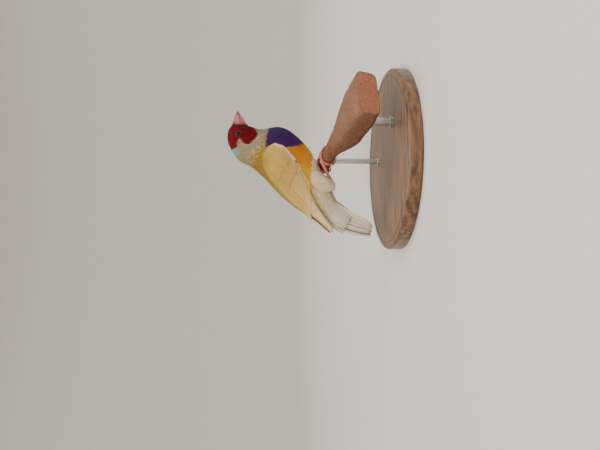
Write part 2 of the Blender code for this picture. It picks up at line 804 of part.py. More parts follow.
def bill_half(name, upper, parts):
    """One half of the cone-shaped bill, arched across and meeting the other along the mouth."""
    points = []
    steps = 9
    arc = 13
    length = BILL_TIP.x - BILL_BASE_X
    for i in range(steps):
        t = i / (steps - 1)
        shrink = 1 - 0.965 * t
        x = BILL_BASE_X + (length if upper else length - 1.1) * t
        mouth = MOUTH_Z + (BILL_TIP.z - 0.9 - MOUTH_Z) * t**0.9
        culmen = BILL_TOP_Z + (BILL_TIP.z - BILL_TOP_Z) * (0.62 * t + 0.38 * t**2)
        gonys = BILL_BOTTOM_Z + (BILL_TIP.z - 1.2 - BILL_BOTTOM_Z) * (0.9 * t + 0.1 * t**2)
        width = BILL_HALF_WIDTH * (shrink * (1 + 0.16 * math.sin(math.pi * t)))
        edge = mouth + (GAP * 0.6 if upper else -GAP * 0.6)
        height = culmen - edge if upper else edge - gonys
        height = max(height, 0.25)
        for k in range(arc):
            angle = math.pi * k / (arc - 1)
            rise = math.sin(angle) ** 0.9
            z = edge + height * rise if upper else edge - height * rise
            points.append(Vector((x, width * math.cos(angle), z)))
    made = object_from(name, points, ring_faces(steps, arc), parts)
    face_outwards(made)
    made.data.materials.append(material("pink_horn"))
    return made


def build_bill(parts, cutters):
    upper = bill_half("bill_upper", True, parts)
    bill_half("bill_lower", False, parts)
    for side in (1, -1):
        place = (NOSTRIL.x, side * NOSTRIL.y, NOSTRIL.z)
        nostril = ball("nostril", place, NOSTRIL_RADIUS, cutters, 10, 6)
        carve(upper, nostril)
        bpy.data.objects.remove(nostril, do_unlink=True)


def build_thigh(name, side, body_clear, shank_clear, parts):
    """The feathered thigh, a lobe that hangs from the belly down to the hock."""
    path = []
    radii = []
    centres = [tuple(place) + (radius,) for place, radius in THIGH]
    steps = 7
    for i in range(steps):
        x, y, z, radius = smooth_row(centres, (len(THIGH) - 1) * i / (steps - 1))
        path.append(Vector((x, y * side, z)))
        radii.append(radius)
    thigh = tube(name, path, radii, 12, parts, flatten=THIGH_BREADTH)
    carve(thigh, body_clear)
    carve(thigh, shank_clear)
    thigh.data.materials.append(material("cream_plumage"))
    return thigh


def perch_axes():
    along = (PERCH_END - PERCH_START).normalized()
    across = Vector((-along.y, along.x, 0)).normalized()
    upward = across.cross(along)
    if upward.z < 0:
        upward = -upward
    if across.x < 0:
        across = -across
    return along, across, upward


def perch_row(distance):
    """Centre, half width and half height of the perch at a distance along it."""
    along, across, upward = perch_axes()
    distances = [row[0] for row in PERCH_STATIONS]
    place = np.interp(distance, distances, range(len(distances)))
    _, aside, lift, half_width, half_height = smooth_row(PERCH_STATIONS, place)
    centre = PERCH_START + along * distance + across * aside + upward * lift
    return centre, half_width, half_height


def perch_point(distance, angle, offset):
    """A point round the perch: angle 90 degrees is its top and 0 its front, ahead of the bird."""
    along, across, upward = perch_axes()
    centre, half_width, half_height = perch_row(distance)
    return (
        centre
        + across * (half_width + offset) * math.cos(angle)
        + upward * (half_height + offset) * math.sin(angle)
    )


def perch_mesh(name, offset, collection):
    """The perch is nearly round at the feet and a broad rounded block at its sawn end."""
    along, across, upward = perch_axes()
    points = []
    for distance in PERCH_RINGS:
        centre, half_width, half_height = perch_row(distance)
        turned = min(max((distance - PERCH_SQUARES_FROM) / PERCH_SQUARES_OVER, 0.0), 1.0)
        power = 1.0 - PERCH_SQUARENESS * turned
        shift = {PERCH_RINGS[0]: -offset, PERCH_RINGS[-1]: offset}.get(distance, 0.0)
        for k in range(PERCH_SIDES):
            angle = 2 * math.pi * k / PERCH_SIDES
            cosine = math.cos(angle)
            sine = math.sin(angle)
            wide = math.copysign(abs(cosine) ** power, cosine) * (half_width + offset)
            high = math.copysign(abs(sine) ** power, sine) * (half_height + offset)
            points.append(centre + across * wide + upward * high + along * shift)
    made = object_from(name, points, ring_faces(len(PERCH_RINGS), PERCH_SIDES), collection)
    face_outwards(made)
    return made


def foot_pose(side):
    """Where the palm sits on the perch and where the shank comes down to it."""
    station = FOOT_STATION[side]
    palm = perch_point(station, PALM_ANGLE, GAP + TOE_RADIUS + 0.1)
    ankle = perch_point(station, PALM_ANGLE, GAP + TOE_RADIUS + 1.0)
    return station, palm, ankle


def foot_form(name, side, grow, collection):
    """Palm and toes, fused: three toes reach forward over the perch and one goes behind it."""
    station, palm, _ = foot_pose(side)
    pieces = [ball(name, palm, PALM_RADIUS + grow, collection, 10, 6)]
    steps = 10
    claw_from = 7
    for spread, claw_angle, girth in TOES:
        path = []
        radii = []
        for i in range(steps):
            t = i / (steps - 1)
            angle = PALM_ANGLE + (claw_angle - PALM_ANGLE) * t
            aside = spread * min(1.0, 1.5 * t)
            knuckle = 1.0 + 0.10 * math.cos(2 * math.pi * t * 3.5)
            thick = TOE_RADIUS * girth * knuckle * (1 - 0.25 * t)
            if i >= claw_from:
                thick = CLAW_RADIUS * (1 - 0.7 * (i - claw_from) / (steps - 1 - claw_from))
            path.append(perch_point(station + aside, angle, GAP + 0.1 + thick))
            radii.append(thick + grow)
        along = perch_axes()[0]
        pieces.append(tube("toe", path, radii, 6, collection, start_side=along))
    return fuse(name, pieces)


def build_foot(name, side, perch_clear, parts):
    foot = foot_form(name, side, 0.0, parts)
    carve(foot, perch_clear)
    foot.data.materials.append(material("pink_skin"))
    return foot


def shank_path(side):
    """From just above the hock down to the ankle."""
    _, _, ankle = foot_pose(side)
    hock = Vector((HOCK.x, HOCK.y * side, HOCK.z))
    start = hock + (hock - ankle).normalized() * TARSUS_RADIUS * 1.2
    return [start, hock.lerp(ankle, 0.12), hock.lerp(ankle, 0.5), hock.lerp(ankle, 0.85), ankle]


def build_shank(name, side, foot_clear, parts):
    radii = [TARSUS_RADIUS * k for k in SHANK_GIRTH]
    shank = tube(name, shank_path(side), radii, 10, parts)
    carve(shank, foot_clear)
    shank.data.materials.append(material("pink_skin"))
    return shank


def shank_clearance(side, cutters):
    clear = GAP * 1.3
    path = shank_path(side)
    path[0] = path[0] + (path[0] - path[1]).normalized() * clear
    path[-1] = path[-1] + (path[-1] - path[-2]).normalized() * clear
    radii = [TARSUS_RADIUS * k + clear for k in SHANK_GIRTH]
    return hide_cutter(tube("shank_clear", path, radii, 10, cutters))


def build_stand(perch_clear, parts):
    base_centre = Vector((-BIRD_AHEAD_OF_BASE_CENTRE, -BIRD_LEFT_OF_BASE_CENTRE, -BIRD_HEIGHT))
    bpy.ops.mesh.primitive_cylinder_add(
        vertices=56,
        radius=BASE_RADIUS * MM,
        depth=BASE_THICKNESS * MM,
        location=(0, 0, BASE_THICKNESS / 2 * MM),
    )
    base = bpy.context.active_object
    base.name = "stand_base"
    for owner in list(base.users_collection):
        owner.objects.unlink(base)
    parts.objects.link(base)
    bevel = base.modifiers.new("edge", "BEVEL")
    bevel.width = BASE_EDGE_BEVEL * MM
    bevel.segments = 1
    bevel.limit_method = "ANGLE"
    base.data.materials.append(material("stand_wood"))
    floor_of_rods = base_centre.z + BASE_THICKNESS + GAP
    for name, (distance, radius) in RODS.items():
        head, _, _ = perch_row(distance)
        foot = Vector((head.x, head.y, floor_of_rods))
        rod = tube(name, [foot, head], [radius, radius], 20, parts, start_side=Vector((1, 0, 0)))
        carve(rod, perch_clear)
        rod.data.materials.append(material("stand_steel"))


def main():
    clear_scene()
    parts = bpy.data.collections.new("gouldian_finch")
    cutters = bpy.data.collections.new("cutters")
    bpy.context.scene.collection.children.link(parts)
    bpy.context.scene.collection.children.link(cutters)

    body_clear = hide_cutter(body_loft("body_clear", 5.0, BODY_ENDS_AT, 26, cutters, GAP + 0.08))
    perch_clear = hide_cutter(perch_mesh("perch_clear", GAP + 0.05, cutters))

    build_head(parts, cutters)
    build_bill(parts, cutters)
    build_eye("eye_left", 1, parts)
    build_eye("eye_right", -1, parts)

    neck = body_loft("neck", HEAD_ENDS_AT - 0.6, NECK_ENDS_AT + 0.6, 9, parts)
    cut_flat(neck, *body_plane(HEAD_ENDS_AT), False)
    cut_flat(neck, *body_plane(NECK_ENDS_AT), True)
    neck.data.materials.append(material("pale_plumage"))

    torso = body_loft("torso", NECK_ENDS_AT - 0.6, BODY_ENDS_AT, 20, parts)
    cut_flat(torso, *body_plane(NECK_ENDS_AT), False)
    torso.data.materials.append(material("violet_plumage"))

    wing_clears = []
    for name, side in (("wing_left", 1), ("wing_right", -1)):
        build_wing(name, side, body_clear, parts)
        wing_clears.append(wing_clearance(name + "_clear", side, cutters))
    build_tail(body_clear, wing_clears, parts)

    carve(torso, perch_clear)
    for word, side in (("left", 1), ("right", -1)):
        build_foot("foot_" + word, side, perch_clear, parts)
        foot_clear = hide_cutter(foot_form("foot_clear_" + word, side, GAP * 1.2, cutters))
        shank_clear = shank_clearance(side, cutters)
        build_shank("shank_" + word, side, foot_clear, parts)
        thigh = build_thigh("thigh_" + word, side, body_clear, shank_clear, parts)
        for clear in (foot_clear, perch_clear):
            carve(thigh, clear)
        for clear in (foot_clear, shank_clear):
            carve(torso, clear)

    perch = perch_mesh("perch", 0.0, parts)
    perch.data.materials.append(material("sanded_perch"))
    build_stand(perch_clear, parts)


main()
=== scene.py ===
"""The look of a life-size gouldian finch on a cut length of sanded perch and a display stand.

Shapes are worked out in millimetres in the bird's own axes: it faces +X, its left side is +Y and
its origin is on the perch's top between the feet. They turn to metres when a mesh is made.
"""
import itertools
import math

import bmesh
import bpy
import numpy as np
from mathutils import Matrix, Vector
from mathutils.kdtree import KDTree


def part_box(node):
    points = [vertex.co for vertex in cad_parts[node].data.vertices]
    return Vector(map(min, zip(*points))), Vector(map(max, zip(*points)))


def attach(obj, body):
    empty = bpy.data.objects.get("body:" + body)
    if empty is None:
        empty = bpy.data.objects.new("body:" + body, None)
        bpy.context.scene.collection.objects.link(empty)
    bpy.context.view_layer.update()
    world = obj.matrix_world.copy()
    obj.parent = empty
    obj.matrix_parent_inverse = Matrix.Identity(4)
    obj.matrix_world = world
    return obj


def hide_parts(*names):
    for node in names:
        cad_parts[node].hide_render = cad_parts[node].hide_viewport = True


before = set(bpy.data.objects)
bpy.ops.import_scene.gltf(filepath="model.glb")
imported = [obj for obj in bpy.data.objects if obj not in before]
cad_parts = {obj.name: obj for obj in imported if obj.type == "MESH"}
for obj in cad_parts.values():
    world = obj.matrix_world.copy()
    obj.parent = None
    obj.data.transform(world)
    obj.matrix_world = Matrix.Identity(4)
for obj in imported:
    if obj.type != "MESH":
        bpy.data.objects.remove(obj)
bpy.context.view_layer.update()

MM = 0.001
BIRD_ORIGIN = np.array((4.0, 22.0, 46.5))
SIDES = {"left": 1, "right": -1}

# Stations of the body from the bill's base to the tail's root: the outline's upper x and z,
# its lower x and z, the half width, and how far the widest level sits below the middle.
BODY = (
    (22.5, 57.4, 22.5, 46.0, 4.7, 0.00),
    (20.6, 59.0, 22.2, 44.2, 6.3, 0.02),
    (17.6, 59.8, 21.7, 42.4, 7.4, 0.04),
    (13.4, 59.7, 21.2, 40.6, 8.1, 0.05),
    (8.8, 58.1, 20.9, 38.9, 8.3, 0.06),
    (4.6, 55.7, 20.9, 37.2, 8.5, 0.06),
    (1.0, 53.0, 21.2, 35.2, 9.0, 0.04),
    (-1.2, 49.8, 21.8, 32.6, 10.0, 0.02),
    (-3.0, 45.8, 22.4, 29.4, 11.2, 0.00),
    (-6.4, 41.3, 22.4, 25.2, 12.5, 0.00),
    (-10.8, 36.7, 20.6, 20.6, 13.5, 0.00),
    (-15.6, 32.0, 17.2, 16.0, 13.9, 0.00),
    (-20.2, 27.4, 12.8, 11.4, 13.6, 0.00),
    (-24.8, 22.0, 7.6, 7.0, 12.7, 0.00),
    (-29.0, 16.4, 1.8, 3.8, 11.2, 0.00),
    (-32.6, 10.8, -5.2, 0.8, 9.4, 0.00),
    (-35.2, 5.8, -12.4, -3.4, 7.4, 0.00),
    (-37.0, 1.4, -19.2, -6.8, 5.6, 0.00),
    (-38.2, -2.2, -26.0, -9.8, 4.2, 0.00),
)
BODY_END = len(BODY) - 1.0
# The body's surface goes on past its end for the feathers that reach over the tail's root.
BODY_RUN = BODY + ((-39.4, -5.8, -32.8, -12.8, 2.8, 0.00),)
# The folded wing lies on the body and runs on past it along these extra stations.
WING_GUIDE = BODY[:16] + (
    (-36.6, 6.2, -16.0, -1.6, 7.6, 0.00),
    (-40.4, 1.6, -26.0, -4.6, 6.4, 0.00),
    (-44.2, -2.6, -34.6, -8.2, 5.4, 0.00),
    (-47.4, -6.4, -41.6, -11.4, 4.4, 0.00),
)
# The wing's front end, then its upper and lower edges as angles from the back's middle line.
WING_EDGES = (
    (8.9, 60.0, 82.0),
    (9.5, 40.0, 98.0),
    (10.3, 28.0, 103.0),
    (11.0, 21.0, 103.0),
    (12.0, 15.0, 100.0),
    (13.0, 10.0, 94.0),
    (14.0, 7.0, 85.0),
    (15.0, 6.0, 76.0),
    (16.0, 6.0, 72.0),
    (17.0, 10.0, 72.0),
    (18.0, 20.0, 72.0),
    (18.9, 42.0, 66.0),
)
WING_FRONT = WING_EDGES[0][0]
WING_CORE_END = 15.6

TAIL_TIP_DROP = 32.5
TAIL_TOP = np.array(((-36.5, 0.5, -1.0), (-46.4, 0.7, -13.0), (-47.8, 0.9, 0.9 - TAIL_TIP_DROP)))
TAIL_LOW = np.array(((-29.0, 2.6, -7.0), (-35.6, 4.4, -17.0), (-42.2, 4.6, 1.2 - TAIL_TIP_DROP)))
TAIL_OUTER_TURN = math.radians(68)

BILL_BASE_X = 22.8
BILL_TIP = np.array((33.4, 0.0, 53.4))
BILL_TOP_Z = 57.3
BILL_BOTTOM_Z = 46.1
MOUTH_Z = 51.6
BILL_HALF_WIDTH = 4.6
NOSTRIL = np.array((24.0, 2.55, 56.0))
NOSTRIL_SIZE = np.array((0.62, 0.5, 0.5))
# Edges of the bill that turn by more than this many degrees stay sharp.
BILL_EDGE = 42

EYE_PLACE = 3.15
EYE_ANGLE = math.radians(74)
EYE_RADIUS = 2.3
EYE_SHOWN_RADIUS = 1.75
# Feathers keep this far from the eye's axis, so that the lids show.
LID_REACH = 2.0

THIGH = (
    (-10.5, 6.2, 7.5, 4.8),
    (-14.0, 6.8, 3.0, 5.0),
    (-16.2, 6.8, -1.4, 4.4),
    (-17.2, 6.4, -5.4, 3.3),
    (-17.4, 6.2, -8.4, 1.9),
)
THIGH_BREADTH = 1.15
HOCK = np.array((-14.6, 6.0, -6.4))
TARSUS_RADIUS = 0.95
TOE_RADIUS = 0.8
CLAW_RADIUS = 0.5
PALM_RADIUS = 1.3
PALM_ANGLE = math.radians(128)
# Toes: how far each spreads along the perch, the angle round it that the claw reaches, girth.
TOES = (
    (-3.6, math.radians(-26), 1.0),
    (0.2, math.radians(-34), 1.0),
    (3.6, math.radians(-24), 1.0),
    (0.3, math.radians(262), 1.05),
)
FOOT_STATION = {1: -10.2, -1: -0.6}
TOUCHING_GAP = 0.3

PERCH_START = np.array((2.4, -4.6, -4.9))
PERCH_END = np.array((22.6, -64.2, -20.9))
# Along the perch, offset sideways and up, half width, half height.
PERCH_STATIONS = (
    (-15.5, 0.0, -1.7, 3.6, 3.3),
    (-14.7, 0.0, -1.6, 4.4, 4.1),
    (-8.0, 0.0, -0.7, 4.7, 4.4),
    (0.0, 0.0, 0.0, 5.0, 4.7),
    (9.0, 0.2, 0.2, 5.3, 5.2),
    (18.0, -0.4, -0.6, 6.8, 7.2),
    (27.0, -0.4, -1.4, 8.3, 8.8),
    (38.0, 1.2, -1.0, 10.5, 9.3),
    (50.0, 2.2, -0.4, 12.9, 8.6),
    (62.5, 3.2, 0.0, 14.8, 6.6),
)
PERCH_SQUARES_FROM = 12.0
PERCH_SQUARES_OVER = 40.0
PERCH_SQUARENESS = 0.60

# The base's rounded rim, and the angle in degrees past which the stand's edges stay sharp.
RIM_ROUND = 1.4
STAND_EDGE = 35

# How deep the plumage is over the skin, at stations from the bill to the tail.
COAT_DEPTH = ((0.0, 0.15), (1.0, 0.3), (5.0, 0.5), (8.0, 0.8), (16.0, 0.9), (18.0, 0.6))
THIGH_DEPTH = 0.7


def srgb(red, green, blue):
    """A linear colour from the usual 0 to 255 values."""
    levels = np.array((red, green, blue)) / 255
    return np.where(levels <= 0.04045, levels / 12.92, ((levels + 0.055) / 1.055) ** 2.4)


CRIMSON = srgb(110, 4, 9)
DARK_CRIMSON = srgb(76, 3, 8)
ROSE_BUFF = srgb(164, 102, 78)
PALE_BUFF = srgb(140, 124, 108)
PALE_FLECK = srgb(196, 178, 148)
NAPE_FLECK = srgb(206, 172, 122)
NAPE_GREY = srgb(140, 132, 98)
TURQUOISE = srgb(124, 176, 176)
GOLD_OLIVE = srgb(150, 117, 40)
PALE_GOLD = srgb(178, 150, 66)
OLIVE = srgb(132, 112, 34)
VIOLET = srgb(62, 26, 86)
DEEP_VIOLET = srgb(42, 16, 58)
ORANGE = srgb(200, 126, 16)
YELLOW = srgb(234, 180, 54)
WARM_WHITE = srgb(238, 216, 182)
TAN_CREAM = srgb(186, 146, 76)
CREAM = srgb(212, 176, 98)
EDGE_CREAM = srgb(234, 208, 164)
TAIL_WHITE = srgb(218, 209, 186)
TAIL_GREY = srgb(180, 172, 150)
BILL_PINK = srgb(166, 80, 88)
BILL_PALE = srgb(172, 104, 108)
BILL_BASE_RED = srgb(114, 20, 30)
BILL_TIP_RED = srgb(98, 8, 24)
NOSTRIL_DARK = srgb(60, 10, 16)
IRIS = srgb(44, 24, 16)
PUPIL = srgb(4, 4, 5)
LID_RIM = srgb(78, 38, 34)
LID_INNER = srgb(26, 14, 14)
LEG_PINK = srgb(202, 112, 100)
LEG_DEEP = srgb(158, 70, 64)
CLAW_PINK = srgb(190, 138, 120)
SANDY = srgb(120, 84, 60)
PALE_TOP_SAND = srgb(136, 100, 76)
DARK_SAND = srgb(116, 72, 48)
RED_SAND = srgb(154, 100, 76)


def rows_at(table, places):
    """Rows between a table's rows on a smooth curve through them, for an array of places."""
    rows = np.asarray(table, dtype=float)
    last = len(rows) - 1
    places = np.clip(places, 0.0, last)
    low = np.minimum(places.astype(int), last - 1)
    t = (places - low)[..., None]
    before = rows[np.maximum(low - 1, 0)]
    start = rows[low]
    end = rows[low + 1]
    after = rows[np.minimum(low + 2, last)]
    leave = (end - before) / 2
    arrive = (after - start) / 2
    return (
        (2 * t**3 - 3 * t**2 + 1) * start
        + (t**3 - 2 * t**2 + t) * leave
        + (3 * t**2 - 2 * t**3) * end
        + (t**3 - t**2) * arrive
    )


def unit(vectors):
    return vectors / np.maximum(np.linalg.norm(vectors, axis=-1, keepdims=True), 1e-9)


def ground(surface, places, angles):
    """Points on a surface itself, at no height over it."""
    return surface(places, angles, np.zeros_like(places))


def full_turn(count):
    """Angles spaced evenly round a full turn."""
    return np.linspace(0, 2 * math.pi, count, endpoint=False)


def between(ends, share):
    return ends[0] + (ends[1] - ends[0]) * share


def loft_surface(table, places, angles):
    row = rows_at(table, np.broadcast_to(places, np.broadcast(places, angles).shape) + 0.0)
    cosine = np.cos(angles)
    x = (row[..., 0] + row[..., 2]) / 2 + (row[..., 0] - row[..., 2]) / 2 * cosine
    y = row[..., 4] * np.sin(angles) * (1 - row[..., 5] * cosine)
    z = (row[..., 1] + row[..., 3]) / 2 + (row[..., 1] - row[..., 3]) / 2 * cosine
    return np.stack((x, y, z), axis=-1)


def loft_normals(table, places, angles):
    step = 0.02
    last = len(table) - 1
    ahead = loft_surface(table, np.minimum(places + step, last), angles)
    behind = loft_surface(table, np.maximum(places - step, 0), angles)
    left = loft_surface(table, places, angles + step)
    right = loft_surface(table, places, angles - step)
    return unit(np.cross(left - right, ahead - behind))


def on_loft(table):
    """A surface: points at a height over a lofted body, angle 0 being the back's middle line."""
    def surface(places, angles, heights):
        normals = loft_normals(table, places, angles)
        return loft_surface(table, places, angles) + normals * np.asarray(heights)[..., None]
    return surface


def on_thigh(side):
    """A surface round the feathered thigh, places running from the belly down to the hock."""
    table = [(x, y * side, z, radius) for x, y, z, radius in THIGH]

    def surface(places, angles, heights):
        row = rows_at(table, places + 0.0)
        ahead = rows_at(table, places + 0.05)[..., :3]
        behind = rows_at(table, places - 0.05)[..., :3]
        along = unit(ahead - behind)
        across = np.array((0.0, 1.0, 0.0)) - along * along[..., 1:2]
        across = unit(across)
        other = np.cross(along, across)
        reach = row[..., 3] + heights
        wide = across * (np.cos(angles) * reach)[..., None]
        deep = other * (np.sin(angles) * reach * THIGH_BREADTH)[..., None]
        return row[..., :3] + wide + deep
    return surface


body_surface = on_loft(BODY_RUN)
wing_surface = on_loft(WING_GUIDE)


def coat_depth(places):
    stations, depths = zip(*COAT_DEPTH)
    return np.interp(places, stations, depths)


def wing_edges(places):
    """The folded wing's upper and lower edge angles at stations."""
    stations, uppers, lowers = zip(*WING_EDGES)
    upper = np.radians(np.interp(places, stations, uppers))
    lower = np.radians(np.interp(places, stations, lowers))
    return upper, lower


def wing_angles(places, shares, side):
    """Angles at shares across one folded wing: 0 at its upper edge, 1 at its lower."""
    upper, lower = wing_edges(places)
    return side * (upper + (lower - upper) * shares)


# Large odd numbers that scatter a cell's place into a value that looks random.
CELL_FACTORS = np.array((73856093, 19349663, 83492791))
SEED_FACTOR = 7919
STIR_FACTOR, STIR_STEP = 1103515245, 12345
LOW_BITS = 0x7FFFFFFF
VALUE_BITS = 0xFFFF


def cell_values(cells, seed):
    """A random value from 0 to 1 for each cell of a grid, the same for the same cell and seed."""
    scattered = cells * CELL_FACTORS
    stirred = scattered[..., 0] ^ scattered[..., 1] ^ scattered[..., 2]
    stirred = (stirred ^ (seed * SEED_FACTOR)) & LOW_BITS
    stirred = (stirred * STIR_FACTOR + STIR_STEP) & LOW_BITS
    return ((stirred >> 7) & VALUE_BITS) / VALUE_BITS


def smooth_noise(points, cell, seed):
    """Smooth random values from 0 to 1 that change over about one cell."""
    grid = np.asarray(points) / cell + 1000.0
    low = np.floor(grid).astype(np.int64)
    t = grid - low
    t = t * t * (3 - 2 * t)
    total = np.zeros(grid.shape[:-1])
    for corner in itertools.product((0, 1), repeat=3):
        weight = np.prod(np.where(np.array(corner) == 1, t, 1 - t), axis=-1)
        total += weight * cell_values(low + np.array(corner), seed)
    return total


def rises(values, at, soft):
    """0 below a level and 1 above it, with a soft step between."""
    t = np.clip((values - at) / soft + 0.5, 0.0, 1.0)
    return t * t * (3 - 2 * t)


def mixed(base, other, amount):
    return base + (other - base) * np.asarray(amount)[..., None]


def layered(base, *layers):
    """A colour with others laid over it in turn, each (colour, amount)."""
    for colour, amount in layers:
        base = mixed(base, colour, amount)
    return base


def edge_at(angles, table):
    degrees, stations = zip(*table)
    return np.interp(np.degrees(np.abs(angles)), degrees, stations)


# Lines of the markings: the station of each at angles in degrees from the back's middle line.
MASK_EDGE = (
    (0, 4.25), (30, 4.35), (44, 4.45), (52, 4.38), (58, 4.15), (66, 4.25), (70, 4.95), (76, 5.6),
    (86, 5.7), (100, 5.75), (112, 5.5), (120, 5.05), (127, 4.45), (134, 3.2), (150, 1.6), (180, 1.2),
)
PALE_NECK_ENDS = (
    (0, 7.9), (14, 7.85), (38, 7.7), (55, 7.6), (66, 7.8), (76, 7.85), (84, 8.05), (99, 7.75),
    (127, 7.0), (142, 6.5), (180, 5.9),
)
BREAST_ENDS = (
    (79, 8.75), (84, 9.0), (92, 9.4), (98, 9.7), (110, 10.65), (121, 11.1), (134, 11.5), (180, 11.9),
)
BELLY_ENDS = (
    (80, 15.2), (92, 15.0), (109, 14.5), (124, 14.1), (142, 13.5), (150, 13.2), (180, 12.9),
)


def body_colours(places, angles, points, flecks=0.5):
    """The body's markings, with painted shade at the neck's base and by the wings, the same for skin
    and feathers.

    Flecks run from 0 to 1: a value for each feather makes some pale where the bird is speckled.
    """
    degrees = np.degrees(np.abs(angles))
    fleck = smooth_noise(points, 0.9, 3) * 0.6 + flecks * 0.4
    patch = smooth_noise(points, 3.5, 4)
    wander = (smooth_noise(points, 1.6, 5) - 0.5) * 0.25
    places = places + wander
    neck_line = edge_at(angles, PALE_NECK_ENDS)
    mask_line = edge_at(angles, MASK_EDGE)

    back = mixed(GOLD_OLIVE, PALE_GOLD, rises(places, 10.5, 4.0) * 0.8)
    # An olive band beside the back's middle line: partly the back's own colour, partly painted shade
    # along the wings' upper edges.
    back = mixed(back, OLIVE, rises(degrees, 11, 5) * (1 - rises(degrees, 22, 8)) * 0.7)
    back = mixed(back, WARM_WHITE, rises(places, 15.5, 3.0) * 0.6)
    under = mixed(ORANGE, YELLOW, np.clip((places - 12.0) / 2.4, 0, 1) * 0.9 + (patch - 0.5) * 0.2)
    under = mixed(under, YELLOW, rises(degrees, 150, 30) * 0.5)
    under = mixed(under, WARM_WHITE, rises(places, edge_at(angles, BELLY_ENDS), 0.5))
    violet = mixed(VIOLET, DEEP_VIOLET, np.clip(patch * 1.2 - 0.2, 0, 1) * 0.7)
    under = mixed(violet, under, rises(places, edge_at(angles, BREAST_ENDS), 0.22))
    colours = mixed(back, under, rises(degrees, 82, 6))

    neck = mixed(NAPE_GREY, PALE_BUFF, rises(degrees, 70, 30))
    shadow = rises(places, neck_line - 0.6, 1.1) * (1 - rises(degrees, 118, 30))
    neck = mixed(neck, OLIVE, shadow * 0.7)
    scallops = rises(places, neck_line - 1.0, 0.8) * (1 - rises(degrees, 94, 30))
    neck = mixed(neck, NAPE_FLECK, rises(fleck, 0.60, 0.10) * (0.12 + 0.68 * scallops))
    crown = (1 - rises(degrees, 40, 14)) * (1 - rises(places, mask_line + 0.9, 0.6))
    neck = mixed(neck, TURQUOISE, crown * 0.55)
    edging = (1 - rises(places, mask_line + 0.4, 0.5)) * rises(degrees, 60, 12)
    neck = mixed(neck, PALE_FLECK, edging * (0.15 + 0.55 * rises(fleck, 0.5, 0.2)))
    strays = rises(places, neck_line, 0.8) * (1 - rises(places, neck_line + 0.45, 0.3))
    strays = strays * rises(fleck, 0.64, 0.08) * (1 - rises(degrees, 86, 10))
    colours = mixed(colours, NAPE_FLECK, strays * 0.6)
    colours = mixed(neck, colours, rises(places, neck_line, 0.3))

    mask = mixed(CRIMSON, DARK_CRIMSON, rises(degrees, 80, 30) * 0.55)
    mask = mixed(mask, DARK_CRIMSON, 1 - rises(places, 0.7, 0.9))
    mask = mixed(mask, CRIMSON, patch * 0.3)
    behind_eye = (
        rises(places, 3.75, 0.3) * (1 - rises(places, 4.9, 0.6))
        * rises(degrees, 50, 8) * (1 - rises(degrees, 71, 7))
    )
    mask = mixed(mask, ROSE_BUFF, behind_eye * rises(fleck, 0.50, 0.16) * 0.8)
    mask = mixed(mask, PALE_FLECK, behind_eye * rises(fleck, 0.66, 0.1) * 0.55)
    return mixed(mask, colours, rises(places, mask_line, 0.16))


def mesh_from(name, points, faces, colours=None, bake=None, extra=None):
    """An object from points in the bird's millimetres. Faces are an array, or a list if they differ."""
    points = (np.asarray(points).reshape(-1, 3) + BIRD_ORIGIN) * MM
    mesh = bpy.data.meshes.new(name)
    if isinstance(faces, np.ndarray):
        corners = faces.shape[1]
        mesh.vertices.add(len(points))
        mesh.vertices.foreach_set("co", points.astype(np.float32).ravel())
        mesh.loops.add(faces.size)
        mesh.loops.foreach_set("vertex_index", faces.astype(np.int32).ravel())
        mesh.polygons.add(len(faces))
        starts = np.arange(0, faces.size, corners, dtype=np.int32)
        mesh.polygons.foreach_set("loop_start", starts)
        mesh.update(calc_edges=True)
        mesh.validate()
    else:
        mesh.from_pydata(points.tolist(), [], faces)
        mesh.update()
    paint(mesh, colours)
    for label, values in (extra or {}).items():
        layer = mesh.attributes.new(label, "FLOAT", "POINT")
        layer.data.foreach_set("value", np.asarray(values, dtype=np.float32).ravel())
    if bake is not None:
        lay_bake_map(mesh, bake)
    mesh.polygons.foreach_set("use_smooth", np.ones(len(mesh.polygons), dtype=bool))
    made = bpy.data.objects.new(name, mesh)
    bpy.context.scene.collection.objects.link(made)
    return made


def paint(mesh, colours):
    if colours is None:
        return
    layer = mesh.attributes.new("tint", "FLOAT_COLOR", "POINT")
    rgba = np.ones((len(mesh.vertices), 4), dtype=np.float32)
    rgba[:, :3] = np.clip(np.asarray(colours).reshape(-1, 3), 0, 1)
    layer.data.foreach_set("color", rgba.ravel())


def lay_bake_map(mesh, places):
    """The map that the colours are baked on, from one place for each vertex."""
    layer = mesh.uv_layers.new(name="OFBake")
    corners = np.zeros(len(mesh.loops), dtype=np.int32)
    mesh.loops.foreach_get("vertex_index", corners)
    layer.data.foreach_set("uv", np.asarray(places, dtype=np.float32).reshape(-1, 2)[corners].ravel())


def grid_faces(rows, columns, closed=False):
    """Quads over a grid of points, closed round its columns when asked."""
    count = columns if closed else columns - 1
    i, j = np.meshgrid(np.arange(rows - 1), np.arange(count), indexing="ij")
    step = (j + 1) % columns
    a = i * columns + j
    b = i * columns + step
    return np.stack((a, b, b + columns, a + columns), axis=-1).reshape(-1, 4)


def face_outwards(made):
    work = bmesh.new()
    work.from_mesh(made.data)
    bmesh.ops.recalc_face_normals(work, faces=work.faces[:])
    work.to_mesh(made.data)
    work.free()


def tube_faces(rows, columns):
    """Quads round rings of points, and one flat face over each end."""
    faces = grid_faces(rows, columns, closed=True).tolist()
    faces.append(list(range(columns))[::-1])
    faces.append([(rows - 1) * columns + k for k in range(columns)])
    return faces


def closed_mesh(*parts):
    """An object from the same parts as mesh_from, with its faces turned outwards."""
    made = mesh_from(*parts)
    face_outwards(made)
    return made


def closed_tube(name, rings, colours=None, sharp=None):
    """An object from rings of points, closed at both ends.

    Edges that turn by more than sharp degrees stay sharp, where it is given.
    """
    made = closed_mesh(name, rings, tube_faces(*rings.shape[:2]), colours)
    if sharp:
        sharpen(made, sharp)
    return made


